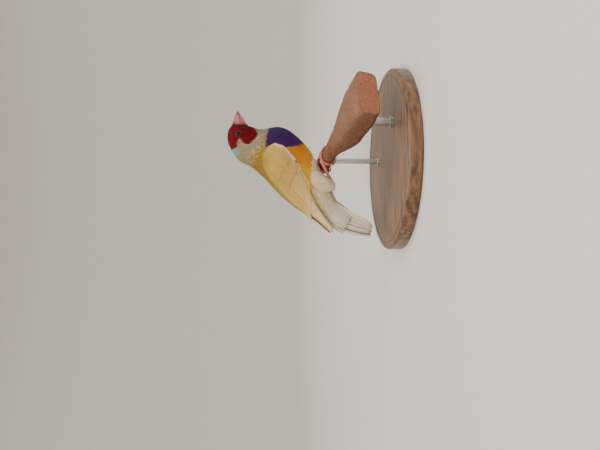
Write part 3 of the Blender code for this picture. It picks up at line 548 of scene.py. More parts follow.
def sharpen(made, degrees):
    """Shade smooth but for edges that turn by more than an angle."""
    work = bmesh.new()
    work.from_mesh(made.data)
    for edge in work.edges:
        if len(edge.link_faces) == 2:
            edge.smooth = edge.calc_face_angle() < math.radians(degrees)
    work.to_mesh(made.data)
    work.free()


def finish_piece(made, look, slot, *nodes):
    """Give a piece its material, its place on the body and the solids it stands for."""
    made.data.materials.clear()
    made.data.materials.append(look)
    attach(made, "root")
    if nodes:
        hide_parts(*nodes)
    return made


# Materials.


def new_material(name, roughness, specular=0.5, sockets=None):
    """A material with its nodes and its shader, whose own sockets get the values given."""
    made = bpy.data.materials.new(name)
    made.use_nodes = True
    shader = made.node_tree.nodes["Principled BSDF"]
    values = {"Roughness": roughness, "Specular IOR Level": specular, **(sockets or {})}
    for socket, value in values.items():
        shader.inputs[socket].default_value = value
    return made, made.node_tree, shader


def node(tree, kind, **values):
    made = tree.nodes.new(kind)
    for label, value in values.items():
        if label in made.inputs:
            made.inputs[label].default_value = value
        else:
            setattr(made, label, value)
    return made


def object_places(tree, scale=None):
    """The object's own coordinates, stretched when a scale is given."""
    places = tree.nodes.new("ShaderNodeTexCoord").outputs["Object"]
    if scale is None:
        return places
    stretch = node(tree, "ShaderNodeMapping", Scale=scale)
    tree.links.new(places, stretch.inputs["Vector"])
    return stretch.outputs["Vector"]


def noise(tree, scale, detail=3.0, places=None):
    made = node(tree, "ShaderNodeTexNoise", Scale=scale, Detail=detail)
    if places is None:
        places = object_places(tree)
    tree.links.new(places, made.inputs["Vector"])
    return made.outputs["Fac"]


def painted(tree):
    """The colour that each mesh carries on its points."""
    return node(tree, "ShaderNodeAttribute", attribute_name="tint").outputs["Color"]


def even_colour(tree, colour):
    made = node(tree, "ShaderNodeRGB")
    made.outputs[0].default_value = (*colour, 1.0)
    return made.outputs[0]


def multiply_colour(tree, colour, factor, shades):
    """A colour made darker and lighter by a factor that runs from 0 to 1."""
    span = node(tree, "ShaderNodeMapRange")
    span.inputs["To Min"].default_value, span.inputs["To Max"].default_value = shades
    tree.links.new(factor, span.inputs["Value"])
    scaled = node(tree, "ShaderNodeVectorMath", operation="SCALE")
    tree.links.new(colour, scaled.inputs[0])
    tree.links.new(span.outputs["Result"], scaled.inputs["Scale"])
    return scaled.outputs["Vector"]


def finish_surface(tree, shader, colour, height=None, distance=0.0, strength=1.0):
    """Give a shader its colour, and relief from a height where it has one."""
    tree.links.new(colour, shader.inputs["Base Color"])
    if height is not None:
        made = node(tree, "ShaderNodeBump", Strength=strength, Distance=distance)
        tree.links.new(height, made.inputs["Height"])
        tree.links.new(made.outputs["Normal"], shader.inputs["Normal"])


def grained_material(name, roughness, specular, grain, shades, relief=None, sockets=None):
    """The painted tint made lighter and darker by fine grain, which may also raise the surface."""
    made, tree, shader = new_material(name, roughness, specular, sockets)
    fine = noise(tree, *grain)
    colour = multiply_colour(tree, painted(tree), fine, shades)
    if relief:
        finish_surface(tree, shader, colour, fine, *relief)
    else:
        finish_surface(tree, shader, colour)
    return made


PLUMAGE_SURFACE = (0.78, 0.12)
PLUMAGE_GRAIN = (900.0, 4.0)
PLUMAGE_SHADES = (0.84, 1.16)


def soft_sheen(weight):
    return {"Sheen Weight": weight, "Sheen Roughness": 0.45}


def coat_material():
    return grained_material(
        "plumage", *PLUMAGE_SURFACE, PLUMAGE_GRAIN, PLUMAGE_SHADES, (0.00008, 0.5), soft_sheen(0.06)
    )


def vane_material():
    """Flight feathers: the coat's fine mottling, with barbs across each vane."""
    made, tree, shader = new_material("flight_plumage", *PLUMAGE_SURFACE, soft_sheen(0.05))
    colour = multiply_colour(tree, painted(tree), noise(tree, *PLUMAGE_GRAIN), PLUMAGE_SHADES)
    phase = node(tree, "ShaderNodeAttribute", attribute_name="barb")
    wave = node(tree, "ShaderNodeMath", operation="SINE")
    tree.links.new(phase.outputs["Fac"], wave.inputs[0])
    lift = node(tree, "ShaderNodeMapRange")
    lift.inputs["From Min"].default_value = -1.0
    tree.links.new(wave.outputs["Value"], lift.inputs["Value"])
    height = lift.outputs["Result"]
    colour = multiply_colour(tree, colour, height, (0.92, 1.05))
    finish_surface(tree, shader, colour, height, 0.00006, 0.6)
    return made


def horn_material():
    """Horn of the bill: its own tint, faint growth streaks and a satin surface."""
    sockets = {
        "Subsurface Weight": 0.12, "Subsurface Radius": (0.002, 0.0008, 0.0006), "Coat Weight": 0.15,
    }
    return grained_material(
        "bill_horn", 0.34, 0.45, (420.0, 5.0), (0.86, 1.12), (0.00005, 0.5), sockets
    )


def skin_material():
    """Bare skin of the legs and eye rims, finely grained."""
    sockets = {"Subsurface Weight": 0.1, "Subsurface Radius": (0.002, 0.0007, 0.0005)}
    return grained_material(
        "pink_skin", 0.52, 0.4, (1500.0, 4.0), (0.82, 1.15), (0.00008, 0.6), sockets
    )


def eye_material():
    """The eyeball's painted iris and pupil under a wet surface."""
    return grained_material("eye_dark", 0.03, 0.14, (2500.0, 2.0), (0.6, 1.4))


def sand_material():
    """Terracotta sand bonded to the perch: coloured grains, pale and dark specks, coarse bump."""
    made, tree, shader = new_material("perch_sand", 0.92, 0.25)
    places = object_places(tree)
    grains = node(tree, "ShaderNodeTexVoronoi", Scale=2600.0)
    tree.links.new(places, grains.inputs["Vector"])
    shade = node(tree, "ShaderNodeSeparateColor")
    tree.links.new(grains.outputs["Color"], shade.inputs["Color"])
    colour = multiply_colour(tree, painted(tree), shade.outputs["Red"], (0.62, 1.38))
    colour = multiply_colour(tree, colour, noise(tree, 1700.0, 3.0, places), (0.70, 1.32))
    finish_surface(tree, shader, colour, grains.outputs["Distance"], 0.00022, 0.9)
    return made


def wood_material():
    """The stand's base: brown wood with long grain and a satin finish."""
    made, tree, shader = new_material(
        "base_walnut", 0.42, 0.4, {"Coat Weight": 0.25, "Coat Roughness": 0.3}
    )
    places = object_places(tree, (1.0, 9.0, 9.0))
    pores = noise(tree, 260.0, 3.0, places)
    ramp = node(tree, "ShaderNodeValToRGB")
    stops = ((0.35, srgb(74, 48, 30)), (0.68, srgb(136, 96, 62)))
    for element, (position, colour) in zip(ramp.color_ramp.elements, stops):
        element.position = position
        element.color = (*colour, 1.0)
    tree.links.new(noise(tree, 42.0, 8.0, places), ramp.inputs["Fac"])
    colour = multiply_colour(tree, ramp.outputs["Color"], pores, (0.82, 1.12))
    finish_surface(tree, shader, colour, pores, 0.0001, 0.35)
    return made


def steel_material():
    """Brushed steel rods, the brushing running round them."""
    made, tree, shader = new_material("rod_steel", 0.32, sockets={"Metallic": 1.0})
    brush = noise(tree, 180.0, 4.0, object_places(tree, (1.0, 1.0, 30.0)))
    colour = multiply_colour(tree, even_colour(tree, (0.56, 0.55, 0.53)), brush, (0.8, 1.1))
    finish_surface(tree, shader, colour, brush, 0.00004, 0.4)
    return made


def floor_material():
    made, tree, shader = new_material("studio_floor", 0.85, 0.2)
    colour = even_colour(tree, srgb(214, 210, 203))
    colour = multiply_colour(tree, colour, noise(tree, 30.0, 2.0), (0.985, 1.015))
    finish_surface(tree, shader, colour)
    return made


# Plumage: small feathers as ragged, overlapping tufts.


def tuft_template(fingers, split, spread):
    """One tuft: along and across it, how high, and its triangles. Its barbs part into fingers."""
    rows = [[(0.0, 0.0)], [(0.32 * split / 0.65, b) for b in (-0.70, 0.0, 0.70)]]
    splits = np.linspace(-1.0, 1.0, fingers + 1)
    rows.append([(split - 0.10 * b * b, b) for b in splits])
    middles = (splits[:-1] + splits[1:]) / 2
    rows.append([(1.0 - 0.16 * b * b, b * spread) for b in middles])
    points = [point for row in rows for point in row]
    triangles = [(0, 2, 1), (0, 3, 2)]
    low, high, i, j = 1, 4, 0, 0
    while i < 2 or j < fingers:
        if j < fingers and (i == 2 or j * 2 <= i * fingers):
            triangles.append((low + i, high + j + 1, high + j))
            j += 1
        else:
            triangles.append((low + i, low + i + 1, high + j))
            i += 1
    tips = high + fingers + 1
    for k in range(fingers):
        triangles.append((high + k, high + k + 1, tips + k))
    points = np.array(points)
    return {
        "along": points[:, 0],
        "across": points[:, 1],
        "up": -0.22 * points[:, 1] ** 2,
        "tips": np.arange(len(points)) >= tips,
        "ragged": min(1.0, (1.0 - split) / 0.34),
        "triangles": np.array(triangles),
    }


SLEEK = tuft_template(6, 0.66, 0.94)
VELVET = tuft_template(4, 0.58, 0.95)
ROUNDED = tuft_template(8, 0.91, 0.98)
FLUFFY = tuft_template(7, 0.42, 1.25)
# Points along a column of a tract at which its length is measured.
WALK_STEPS = 400


def tract(surface, start, end, first_angle, last_angle, columns, spacing, rng):
    """Roots in staggered rows over a patch of a surface: columns of angles, walked along it."""
    places = []
    angles = []
    walk = np.linspace(start, end, WALK_STEPS)
    width = (last_angle - first_angle) / columns
    for k in range(columns):
        angle = first_angle + (k + 0.5) * width
        middle = ground(surface, walk, np.full_like(walk, angle))
        steps = np.linalg.norm(np.diff(middle, axis=0), axis=-1)
        gaps = spacing(walk)
        counts = np.concatenate(([0.0], np.cumsum(steps / ((gaps[1:] + gaps[:-1]) / 2))))
        number = int(counts[-1])
        if number < 1:
            continue
        wanted = np.arange(number) + (0.25 if k % 2 else 0.75) + rng.uniform(-0.3, 0.3, number)
        here = np.interp(wanted, counts, walk)
        aside = ground(surface, here, np.full_like(here, angle + width))
        place = ground(surface, here, np.full_like(here, angle))
        pitch = np.linalg.norm(aside - place, axis=-1) / spacing(here)
        keep = rng.uniform(0, 1, number) < np.clip(pitch * 1.25, 0.0, 1.0)
        places.append(here[keep])
        angles.append(angle + rng.uniform(-0.4, 0.4, keep.sum()) * width)
    return np.concatenate(places), np.concatenate(angles)


def slopes(surface, places, angles):
    """How a surface's points move with place and with angle, and the way it faces."""
    step = 0.03
    ahead, behind = (ground(surface, places + way, angles) for way in (step, -step))
    left, right = (ground(surface, places, angles + way) for way in (step, -step))
    along = (ahead - behind) / (2 * step)
    around = (left - right) / (2 * step)
    return along, around, unit(np.cross(around, along))


def lay_tufts(surface, places, angles, length, half_width, root, tip, template, rng, turn, stray):
    """Tufts on a surface: each lies along it from its root's height up to its tip's."""
    along, around, normal = slopes(surface, places, angles)
    speed = np.linalg.norm(along, axis=-1)
    forward = along / speed[:, None]
    sideways = np.cross(normal, forward)
    skew = np.sum(around * forward, axis=-1)
    breadth = np.sum(around * sideways, axis=-1)
    count = len(places)
    size = len(template["along"])
    tips = template["tips"][None, :] * template["ragged"]
    heading = (turn + rng.normal(0, stray, count))[:, None]
    t = template["along"][None, :] * (1 + tips * rng.uniform(-0.10, 0.08, (count, size)))
    b = template["across"][None, :] + tips * rng.uniform(-0.16, 0.16, (count, size))
    u = length[:, None] * t
    v = half_width[:, None] * b
    p = u * np.cos(heading) - v * np.sin(heading)
    q = u * np.sin(heading) + v * np.cos(heading)
    da = q / breadth[:, None]
    ds = (p - skew[:, None] * da) / speed[:, None]
    rise = np.sin(np.clip(t, 0, 1.1) * math.pi / 2) ** 0.9
    height = root[:, None] + (tip - root)[:, None] * rise
    height = height + template["up"][None, :] * half_width[:, None]
    height = height + tips * rng.uniform(-0.06, 0.06, (count, size)) * length[:, None] * 0.4
    s = places[:, None] + ds
    a = angles[:, None] + da
    points = surface(s.ravel(), a.ravel(), height.ravel())
    faces = (template["triangles"][None] + (np.arange(count) * size)[:, None, None]).reshape(-1, 3)
    first, second, third = (points[faces[:: len(template["triangles"]), k]] for k in range(3))
    facing = np.sum(np.cross(second - first, third - first) * normal, axis=-1)
    return points, faces if np.median(facing) > 0 else faces[:, ::-1]


def tuft_shades(colours, template, rng, fringe, depth):
    """Each tuft keeps its root's marking, a shade lighter or darker, with a paler fringe."""
    count = len(colours)
    t = template["along"][None, :, None]
    own = 1 + rng.normal(0, 0.06, (count, 1, 1))
    shade = own * (1 - depth + depth * np.clip(t * 1.6, 0, 1)) + fringe * t**3
    return colours[:, None, :] * shade


def bake_patches(roots, template):
    """A patch about 0.003 across for each tuft at its root's place on the skin's unwrap."""
    local = np.stack((template["along"] - 0.5, template["across"] * 0.5), axis=-1) * 0.003
    return roots[:, None, :] + local[None]


def map_places(across, up):
    """Places on the bake map from shares across it and up it, clear of its edges."""
    return 0.02 + 0.96 * np.stack((across, up), axis=-1)


def body_unwrap(places, angles):
    """The body's own surface rolled flat: stations across, angles up."""
    return map_places(np.clip(places / BODY_END, 0, 1), np.mod(angles / (2 * math.pi), 1.0))


def near_eye(points):
    """Distance in millimetres from the nearer eye's centre on the skin."""
    right = np.linalg.norm(points - eye_on_skin(-1), axis=-1)
    left = np.linalg.norm(points - eye_on_skin(1), axis=-1)
    return np.minimum(left, right)


def room_before_eye(places, angles, at):
    """How long a feather can be before it would cross the nearer eye's lids."""
    ahead = ground(body_surface, places + 0.03, angles)
    lie = unit(ahead - at)
    room = np.full(len(places), 99.0)
    for side in SIDES.values():
        gap = eye_on_skin(side) - at
        distance = np.linalg.norm(gap, axis=-1)
        towards = np.sum(gap * lie, axis=-1) / distance
        free = (distance - LID_REACH + 0.25) / np.maximum(towards, 0.2)
        room = np.where(towards > 0.5, np.minimum(room, free), room)
    return np.maximum(room, 0.35)


def eye_on_skin(side):
    return body_surface(np.array(EYE_PLACE), np.array(side * EYE_ANGLE), np.array(0.0))


def coat_piece(name, surface, roots, sizes, template, colours, bake, rng, look, slot, turn=0.0,
               fringe=0.05, depth=0.3, stray=0.12):
    """One coat piece from its roots (places, angles) and sizes (length, width, root, tip)."""
    points, faces = lay_tufts(surface, *roots, *sizes, template, rng, turn, stray)
    shades = tuft_shades(colours, template, rng, fringe, depth)
    made = mesh_from(name, points, faces, shades, bake_patches(bake, template))
    return finish_piece(made, look, slot)


# Between the wings the back's feathers fill the groove up to this height over the body.
RIDGE_LIFT = 0.5
# Body feathers reach this far under the folded wing: as an angle at its sides and in stations
# at its front. Past this station none are left out.
WING_LAP = 0.16
WING_FRONT_LAP = 0.5
WING_LAP_END = 17.0


def hidden_by_wing(places, angles):
    upper, lower = wing_edges(places)
    inside = (np.abs(angles) > upper + WING_LAP) & (np.abs(angles) < lower - WING_LAP)
    return inside & (places > WING_FRONT + WING_FRONT_LAP) & (places < WING_LAP_END)


def body_tuft_sizes(places, angles, rng):
    """Length, half width, root and tip heights of the body's feathers by station."""
    count = len(places)
    degrees = np.degrees(np.abs(angles))
    stations = (0, 0.8, 3, 5.5, 8, 11, 15, 18)
    length = np.interp(places, stations, (0.7, 0.9, 1.4, 2.0, 2.9, 3.8, 4.8, 5.4))
    length = length * (1 + rng.normal(0, 0.09, count))
    width = np.interp(places, (0, 3, 8, 12, 18), (0.20, 0.30, 0.62, 0.8, 0.95))
    width = width * (1 + rng.normal(0, 0.08, count))
    depth = coat_depth(places)
    root = -depth - 0.05
    tip = -depth * rng.uniform(0.0, 0.5, count)
    loose = rises(places, 14.0, 3.0) * rises(degrees, 95, 30)
    frilled = rises(places, 5.4, 0.8) * (1 - rises(places, 8.4, 0.8)) * (1 - rises(degrees, 95, 40))
    tip = tip + 0.3 * loose + 0.12 * frilled * rng.uniform(0, 1, count)
    ridge = rises(places, 10.5, 2.0) * (1 - rises(degrees, 15, 12))
    tip = tip + (RIDGE_LIFT - rng.uniform(0, 0.15, count) - tip) * ridge
    root = root + 0.45 * ridge
    return length, width, root, tip


def build_body_coat(look):
    """The body's feathers in five pieces, from velvet on the face to broad feathers on the belly."""
    rng = np.random.default_rng(21)
    parts = (
        ("coat_face", 0.02, 3.4, 0.235, 210, VELVET, "crimson_plumage", 0.03, 0.35),
        ("coat_crown", 3.4, 5.8, 0.275, 200, VELVET, "crimson_plumage", 0.05, 0.35),
        ("coat_neck", 5.8, 8.6, 0.34, 180, SLEEK, "pale_plumage", 0.10, 0.45),
        ("coat_breast", 8.6, 12.4, 0.44, 170, SLEEK, "violet_plumage", 0.03, 0.35),
        ("coat_belly", 12.4, BODY_END, 0.50, 150, SLEEK, "violet_plumage", 0.06, 0.3),
    )
    for name, start, end, gap, columns, template, slot, fringe, depth in parts:
        places, angles = tract(
            body_surface, start, end, -math.pi, math.pi, columns,
            lambda s, gap=gap: np.full_like(s, gap), rng,
        )
        at = ground(body_surface, places, angles)
        keep = (near_eye(at) > LID_REACH) & ~hidden_by_wing(places, angles)
        places, angles, at = places[keep], angles[keep], at[keep]
        sizes = body_tuft_sizes(places, angles, rng)
        sizes = (np.minimum(sizes[0], room_before_eye(places, angles, at)), *sizes[1:])
        colours = body_colours(places, angles, at, rng.uniform(0, 1, len(places)))
        coat_piece(
            name, body_surface, (places, angles), sizes, template, colours,
            body_unwrap(places, angles), rng, look, slot, fringe=fringe, depth=depth,
        )


# The face's front rows, led on over the bill's base for the short feathers rooted there.
BILL_FRINGE = (
    (25.2, 56.55, 25.2, 47.3, 3.95, 0.00),
    (24.2, 56.98, 24.2, 46.75, 4.28, 0.00),
    (23.1, 57.22, 23.1, 46.3, 4.58, 0.00),
    (22.5, 57.4, 22.5, 46.0, 4.7, 0.00),
    (21.55, 58.2, 22.35, 45.1, 5.5, 0.01),
)
FRINGE_ROWS = 11
FRINGE_FEATHERS = 170


def fringe_roots(rng):
    """Roots in rings round the bill's base, from the face's edge back."""
    places, angles = [], []
    number = FRINGE_FEATHERS
    for row in range(FRINGE_ROWS):
        angle = (np.arange(number) + 0.5 * (row % 2) + rng.uniform(-0.3, 0.3, number)) / number
        angles.append(angle * 2 * math.pi - math.pi)
        places.append(1.35 + 0.24 * row + rng.uniform(-0.12, 0.12, number))
    places = np.concatenate(places)
    angles = np.concatenate(angles)
    # The edge runs forward at the sides of the nostrils and back at the corners of the mouth.
    degrees = np.degrees(np.abs(angles))
    forward = 0.35 * np.exp(-(((degrees - 35) / 22) ** 2))
    back = 0.5 * np.exp(-(((degrees - 95) / 14) ** 2))
    edge = 1.9 - forward + back
    keep = places > edge + rng.uniform(-0.15, 0.1, len(places))
    return places[keep], angles[keep]


def build_bill_fringe(look):
    """The face's first feathers: short, rooted along the bill's edge and lying back from it."""
    rng = np.random.default_rng(24)
    places, angles = fringe_roots(rng)
    count = len(places)
    length = np.interp(places, (1.3, 4.0), (0.5, 0.85)) * rng.uniform(0.85, 1.15, count)
    width = rng.uniform(0.12, 0.19, count)
    root = np.full(count, -0.03)
    tip = np.interp(places, (1.3, 2.4, 3.1, 3.9), (0.14, 0.14, 0.02, -0.12))
    tip = tip + rng.uniform(-0.04, 0.03, count)
    shade = rng.uniform(0.2, 0.9, count)
    colours = mixed(DARK_CRIMSON, CRIMSON, shade)
    bake = body_unwrap(np.full(count, 0.1), angles)
    coat_piece(
        "coat_bill_fringe", on_loft(BILL_FRINGE), (places, angles), (length, width, root, tip),
        VELVET, colours, bake, rng, look, "crimson_plumage",
    )


DRAPE_ROWS = 7
DRAPE_END = 15.4
DRAPE_PITCH = 0.13


def drape_roots(side, rng):
    """Roots in rows along one wing's upper edge, from over the back to over the wing."""
    places, angles = [], []
    for row in range(DRAPE_ROWS):
        station = np.arange(WING_FRONT - 0.1, DRAPE_END, DRAPE_PITCH) + rng.uniform(-0.05, 0.05)
        upper, _ = wing_edges(np.maximum(station, WING_FRONT))
        inset = math.radians(-7.0 + 2.4 * row) + rng.uniform(-0.02, 0.02, len(station))
        angle = upper + inset
        keep = (angle > math.radians(2.0)) & (rng.uniform(0, 1, len(station)) < 0.9)
        places.append(station[keep])
        angles.append(side * angle[keep])
    return np.concatenate(places), np.concatenate(angles)


def build_mantle_drape(look):
    """Long back feathers that lie over each folded wing's upper edge."""
    rng = np.random.default_rng(25)
    for word, side in SIDES.items():
        places, angles = drape_roots(side, rng)
        count = len(places)
        share = wing_shares(places, angles)
        length = rng.uniform(3.6, 4.8, count)
        width = rng.uniform(0.85, 1.15, count)
        lap = np.clip(share / 0.09 + 1, 0, 1)
        root = 0.2 * lap - 0.67
        tip = 0.56 * lap - 0.36
        # No feather's tip stands above the back's middle line, which lies this far over it.
        middle = np.interp(places, (9, 12, 15), (18.0, 18.0, 14.6)) * (1 - np.cos(0.75 * angles))
        room = middle + RIDGE_LIFT - 0.25 - wing_height(places + 0.6, share)
        tip = np.minimum(tip, room) + rng.uniform(-0.06, 0.03, count)
        at = ground(body_surface, places, angles)
        patch = smooth_noise(at, 3.0, 6)
        colours = layered(
            GOLD_OLIVE,
            (PALE_GOLD, 0.25 + 0.5 * patch),
            (TAN_CREAM, rises(share, 0.06, 0.12) * 0.6),
            # Olive at the wing's upper edge: partly the feathers' own colour, partly painted shade of
            # the seam between back and wing.
            (OLIVE, np.exp(-((share / 0.05) ** 2)) * 0.55),
        )
        coat_piece(
            "coat_mantle_" + word, over_wing(body_surface), (places, angles),
            (length, width, root, tip), ROUNDED, colours, body_unwrap(places, angles), rng, look,
            "olive_plumage", turn=-0.16 * side, fringe=0.04, depth=0.25,
        )


def build_vent_fluff(look):
    """Long loose feathers under the tail's root and behind the legs."""
    rng = np.random.default_rng(22)
    places, angles = tract(
        body_surface, 13.6, BODY_END - 0.2, math.radians(78), math.radians(282), 54,
        lambda s: np.full_like(s, 0.75), rng,
    )
    count = len(places)
    length = rng.uniform(4.5, 7.5, count) * np.interp(places, (14, 16, 18), (0.7, 1.0, 0.9))
    width = rng.uniform(0.9, 1.4, count)
    root = -coat_depth(places) - 0.1
    tip = rng.uniform(-0.2, 0.75, count)
    at = ground(body_surface, places, angles)
    angles_about_back = np.where(angles > math.pi, angles - 2 * math.pi, angles)
    colours = body_colours(places + 0.4, angles_about_back, at)
    coat_piece(
        "coat_vent", body_surface, (places, angles), (length, width, root, tip), FLUFFY, colours,
        body_unwrap(places, angles), rng, look, "cream_plumage", fringe=0.08, stray=0.22,
    )


def build_thigh_coat(look):
    """The thigh's loose feathers, laid down it and hanging free at the hock."""
    rng = np.random.default_rng(23)
    for word, side in SIDES.items():
        surface = on_thigh(side)
        places, angles = tract(
            surface, 0.2, 3.97, 0.0, 2 * math.pi, 56, lambda s: np.full_like(s, 0.5), rng
        )
        count = len(places)
        length = rng.uniform(2.6, 4.6, count) * np.interp(places, (0, 3, 4), (1.1, 0.85, 0.62))
        width = rng.uniform(0.6, 1.0, count) * np.interp(places, (0, 3, 4), (1.0, 0.8, 0.6))
        root = np.full(count, -THIGH_DEPTH)
        tip = rng.uniform(-0.4, 0.45, count)
        at = ground(surface, places, angles)
        warm = smooth_noise(at, 2.0, 8)
        colours = mixed(WARM_WHITE, CREAM, warm * 0.25)
        colours = mixed(colours, ROSE_BUFF, rises(warm, 0.55, 0.3) * 0.18)
        bake = map_places(places / (len(THIGH) - 1.0), angles / (2 * math.pi))
        coat_piece(
            "coat_thigh_" + word, surface, (places, angles), (length, width, root, tip), FLUFFY,
            colours, bake, rng, look, "cream_plumage", fringe=0.08, stray=0.28,
        )


# The skin under the plumage.

# Rings along each shell and points round them.
SKIN_GRID = (120, 72)
THIGH_GRID = (24, 28)
SKIN_VOXEL = 0.5
SKIN_SOFTENING = 5
# The skin under the feathers is painted this much darker than they are, as painted shade deep in the
# coat.
SKIN_SHADE = 0.8


def loft_shell(name, surface, end, grid, sunk):
    """A closed shell under a surface, sunk by a depth that may change along it."""
    places, angles = np.meshgrid(np.linspace(0.0, end, grid[0]), full_turn(grid[1]), indexing="ij")
    places = places.ravel()
    points = surface(places, angles.ravel(), -sunk(places))
    return closed_tube(name, points.reshape(*grid, 3))


def thigh_depth(places):
    return np.full_like(places, THIGH_DEPTH)


def build_skin(look):
    """One skin over the head, neck, body and thighs, with the coat's markings darkened as painted
    shade.
    """
    shells = [loft_shell("skin", body_surface, BODY_END, SKIN_GRID, coat_depth)]
    for side in SIDES.values():
        shells.append(loft_shell("shell", on_thigh(side), len(THIGH) - 1.0, THIGH_GRID, thigh_depth))
    work = bmesh.new()
    for shell in shells:
        work.from_mesh(shell.data)
    work.to_mesh(shells[0].data)
    work.free()
    for shell in shells[1:]:
        bpy.data.objects.remove(shell, do_unlink=True)
    skin = shells[0]
    remesh = skin.modifiers.new("one_skin", "REMESH")
    remesh.mode = "VOXEL"
    remesh.voxel_size = SKIN_VOXEL * MM
    soften = skin.modifiers.new("soften", "SMOOTH")
    soften.iterations = SKIN_SOFTENING
    apply_modifiers(skin)
    paint_skin(skin.data)
    skin.data.polygons.foreach_set("use_smooth", np.ones(len(skin.data.polygons), dtype=bool))
    nodes = ("head", "neck", "torso", "thigh_left", "thigh_right")
    return finish_piece(skin, look, "pale_plumage", *nodes)


def apply_modifiers(made):
    bpy.context.view_layer.update()
    seen = made.evaluated_get(bpy.context.evaluated_depsgraph_get())
    mesh = bpy.data.meshes.new_from_object(seen)
    made.modifiers.clear()
    made.data = mesh


def paint_skin(mesh):
    """Find each point's station and angle, then give it the coat's markings in painted shade, and bake
    map.
    """
    points = np.zeros(len(mesh.vertices) * 3)
    mesh.vertices.foreach_get("co", points)
    points = points.reshape(-1, 3) / MM - BIRD_ORIGIN
    places, angles = np.meshgrid(
        np.linspace(0, BODY_END, 181), np.linspace(-math.pi, math.pi, 144, endpoint=False),
        indexing="ij",
    )
    places = places.ravel()
    angles = angles.ravel()
    known = body_surface(places, angles, -coat_depth(places))
    tree = KDTree(len(known))
    for i, point in enumerate(known):
        tree.insert(point, i)
    tree.balance()
    nearest = np.array([tree.find(point)[1] for point in points])
    # The coat's markings darkened as painted shade under the feathers.
    colours = body_colours(places[nearest], angles[nearest], points) * SKIN_SHADE
    thigh = np.linalg.norm(points - known[nearest], axis=-1)
    colours = mixed(colours, WARM_WHITE * SKIN_SHADE, rises(thigh, 0.9, 0.6))
    paint(mesh, colours)
    lay_bake_map(mesh, body_unwrap(places[nearest], angles[nearest]))


# Flight feathers, coverts and tail feathers: closed vanes with a shaft and barbs.

VANE_ROWS = 22
VANE_STEPS = np.linspace(0, 1, VANE_ROWS)[None, :]
VANE_ACROSS = np.array((-1.0, -0.88, -0.66, -0.40, -0.13, 0.0, 0.13, 0.40, 0.66, 0.88, 1.0))
VANE_THICKNESS = 0.15
BARB_PITCH = 0.26


def vane_width(t, tip, closing, root=0.5):
    """How wide a vane is along its length, as a share of its widest."""
    opens = root + (1 - root) * np.sin(np.clip(t / 0.3, 0, 1) * math.pi / 2)
    away = np.clip((t - 1 + closing) / closing, 0, 1)
    return opens * (tip + (1 - tip) * np.sqrt(np.clip(1 - away**2.4, 0, 1)))


def vane_section(half_widths, options, rng):
    """A vane's points across and above its shaft, and its thickness, for every row and column."""
    count = len(half_widths)
    t = VANE_STEPS[..., None]
    b = VANE_ACROSS[None, None, :]
    worn = np.ones((count, VANE_ROWS, 2))
    for vane in range(count):
        for edge in range(2):
            for row in rng.integers(6, VANE_ROWS - 2, rng.integers(0, 3)):
                worn[vane, row, edge] = rng.uniform(0.74, 0.9)
    wide = np.where(b < 0, worn[..., :1], worn[..., 1:])
    reach = half_widths[:, None, None] * vane_width(t, options["tip"], options["closing"])
    across = reach * wide * b
    shaft = 0.09 * np.exp(-((b / 0.09) ** 2)) * (1 - 0.8 * t)
    above = options["roll"] * across - options["camber"] * reach * b * b + shaft
    thick = options.get("thick", VANE_THICKNESS) * (1 - 0.5 * np.abs(b))
    return across, above, thick, reach


def lay_on(surface, heights, places, angles, side, section):
    """Vanes laid on a curved surface: their shafts' places and angles, and heights over it."""
    across, above, thick, _ = section
    along, around, normal = slopes(surface, places, angles)
    shafts = ground(surface, places, angles)
    forward = unit(np.gradient(shafts, axis=1))
    outward = np.cross(forward, normal) * side
    a = np.sum(along * along, axis=-1)
    b = np.sum(along * around, axis=-1)
    c = np.sum(around * around, axis=-1)
    p = np.sum(outward * along, axis=-1)
    q = np.sum(outward * around, axis=-1)
    whole = a * c - b * b
    place_step = ((p * c - q * b) / whole)[..., None]
    angle_step = ((q * a - p * b) / whole)[..., None]
    s = places[..., None] + place_step * across
    turn = angles[..., None] + angle_step * across
    upper = heights(s, turn) + above
    shape = s.shape
    sheets = [
        surface(s.ravel(), turn.ravel(), height.ravel()).reshape(shape + (3,))
        for height in (upper, upper - thick)
    ]
    return np.stack(sheets, axis=1)


def hang_free(centres, normals, section):
    """Vanes along free centre lines (vane, row, xyz), flat across but for their section."""
    across, above, thick, _ = section
    forward = unit(np.gradient(centres, axis=1))
    normals = unit(normals - forward * np.sum(normals * forward, axis=-1, keepdims=True))
    sideways = np.cross(normals, forward)
    middle = centres[:, :, None, :] + sideways[:, :, None, :] * across[..., None]
    upper = middle + normals[:, :, None, :] * above[..., None]
    lower = middle + normals[:, :, None, :] * (above - thick)[..., None]
    return np.stack((upper, lower), axis=1)


def vane_piece(name, points, reach, shade, rng, look, slot, *nodes):
    """One object of closed vanes with their colours, barbs and bake map."""
    count, _, rows, columns, _ = points.shape
    faces = sheet_faces(rows, columns)[None]
    faces = faces + (np.arange(count) * 2 * rows * columns)[:, None, None]
    tt = np.broadcast_to(VANE_STEPS[..., None], (count, rows, columns))
    bb = np.broadcast_to(VANE_ACROSS[None, None, :], (count, rows, columns))
    grey = 1 + rng.normal(0, 0.045, (count, 1, 1, 1))
    colours = shade(tt, bb) * grey
    colours = colours * (1 - 0.16 * np.exp(-((bb / 0.10) ** 2)))[..., None]
    colours = np.stack((colours, mixed(colours, TAIL_GREY, 0.3)), axis=1)
    shafts = points[:, 0, :, columns // 2]
    length = np.linalg.norm(shafts[:, -1] - shafts[:, 0], axis=-1)[:, None, None]
    phase = (tt * length - np.abs(bb) * reach * 0.9) * 2 * math.pi / BARB_PITCH
    made = closed_mesh(
        name, points, faces.reshape(-1, 4), colours, vane_islands(count, tt, bb),
        {"barb": np.stack((phase, phase), axis=1)},
    )
    return finish_piece(made, look, slot, *nodes)


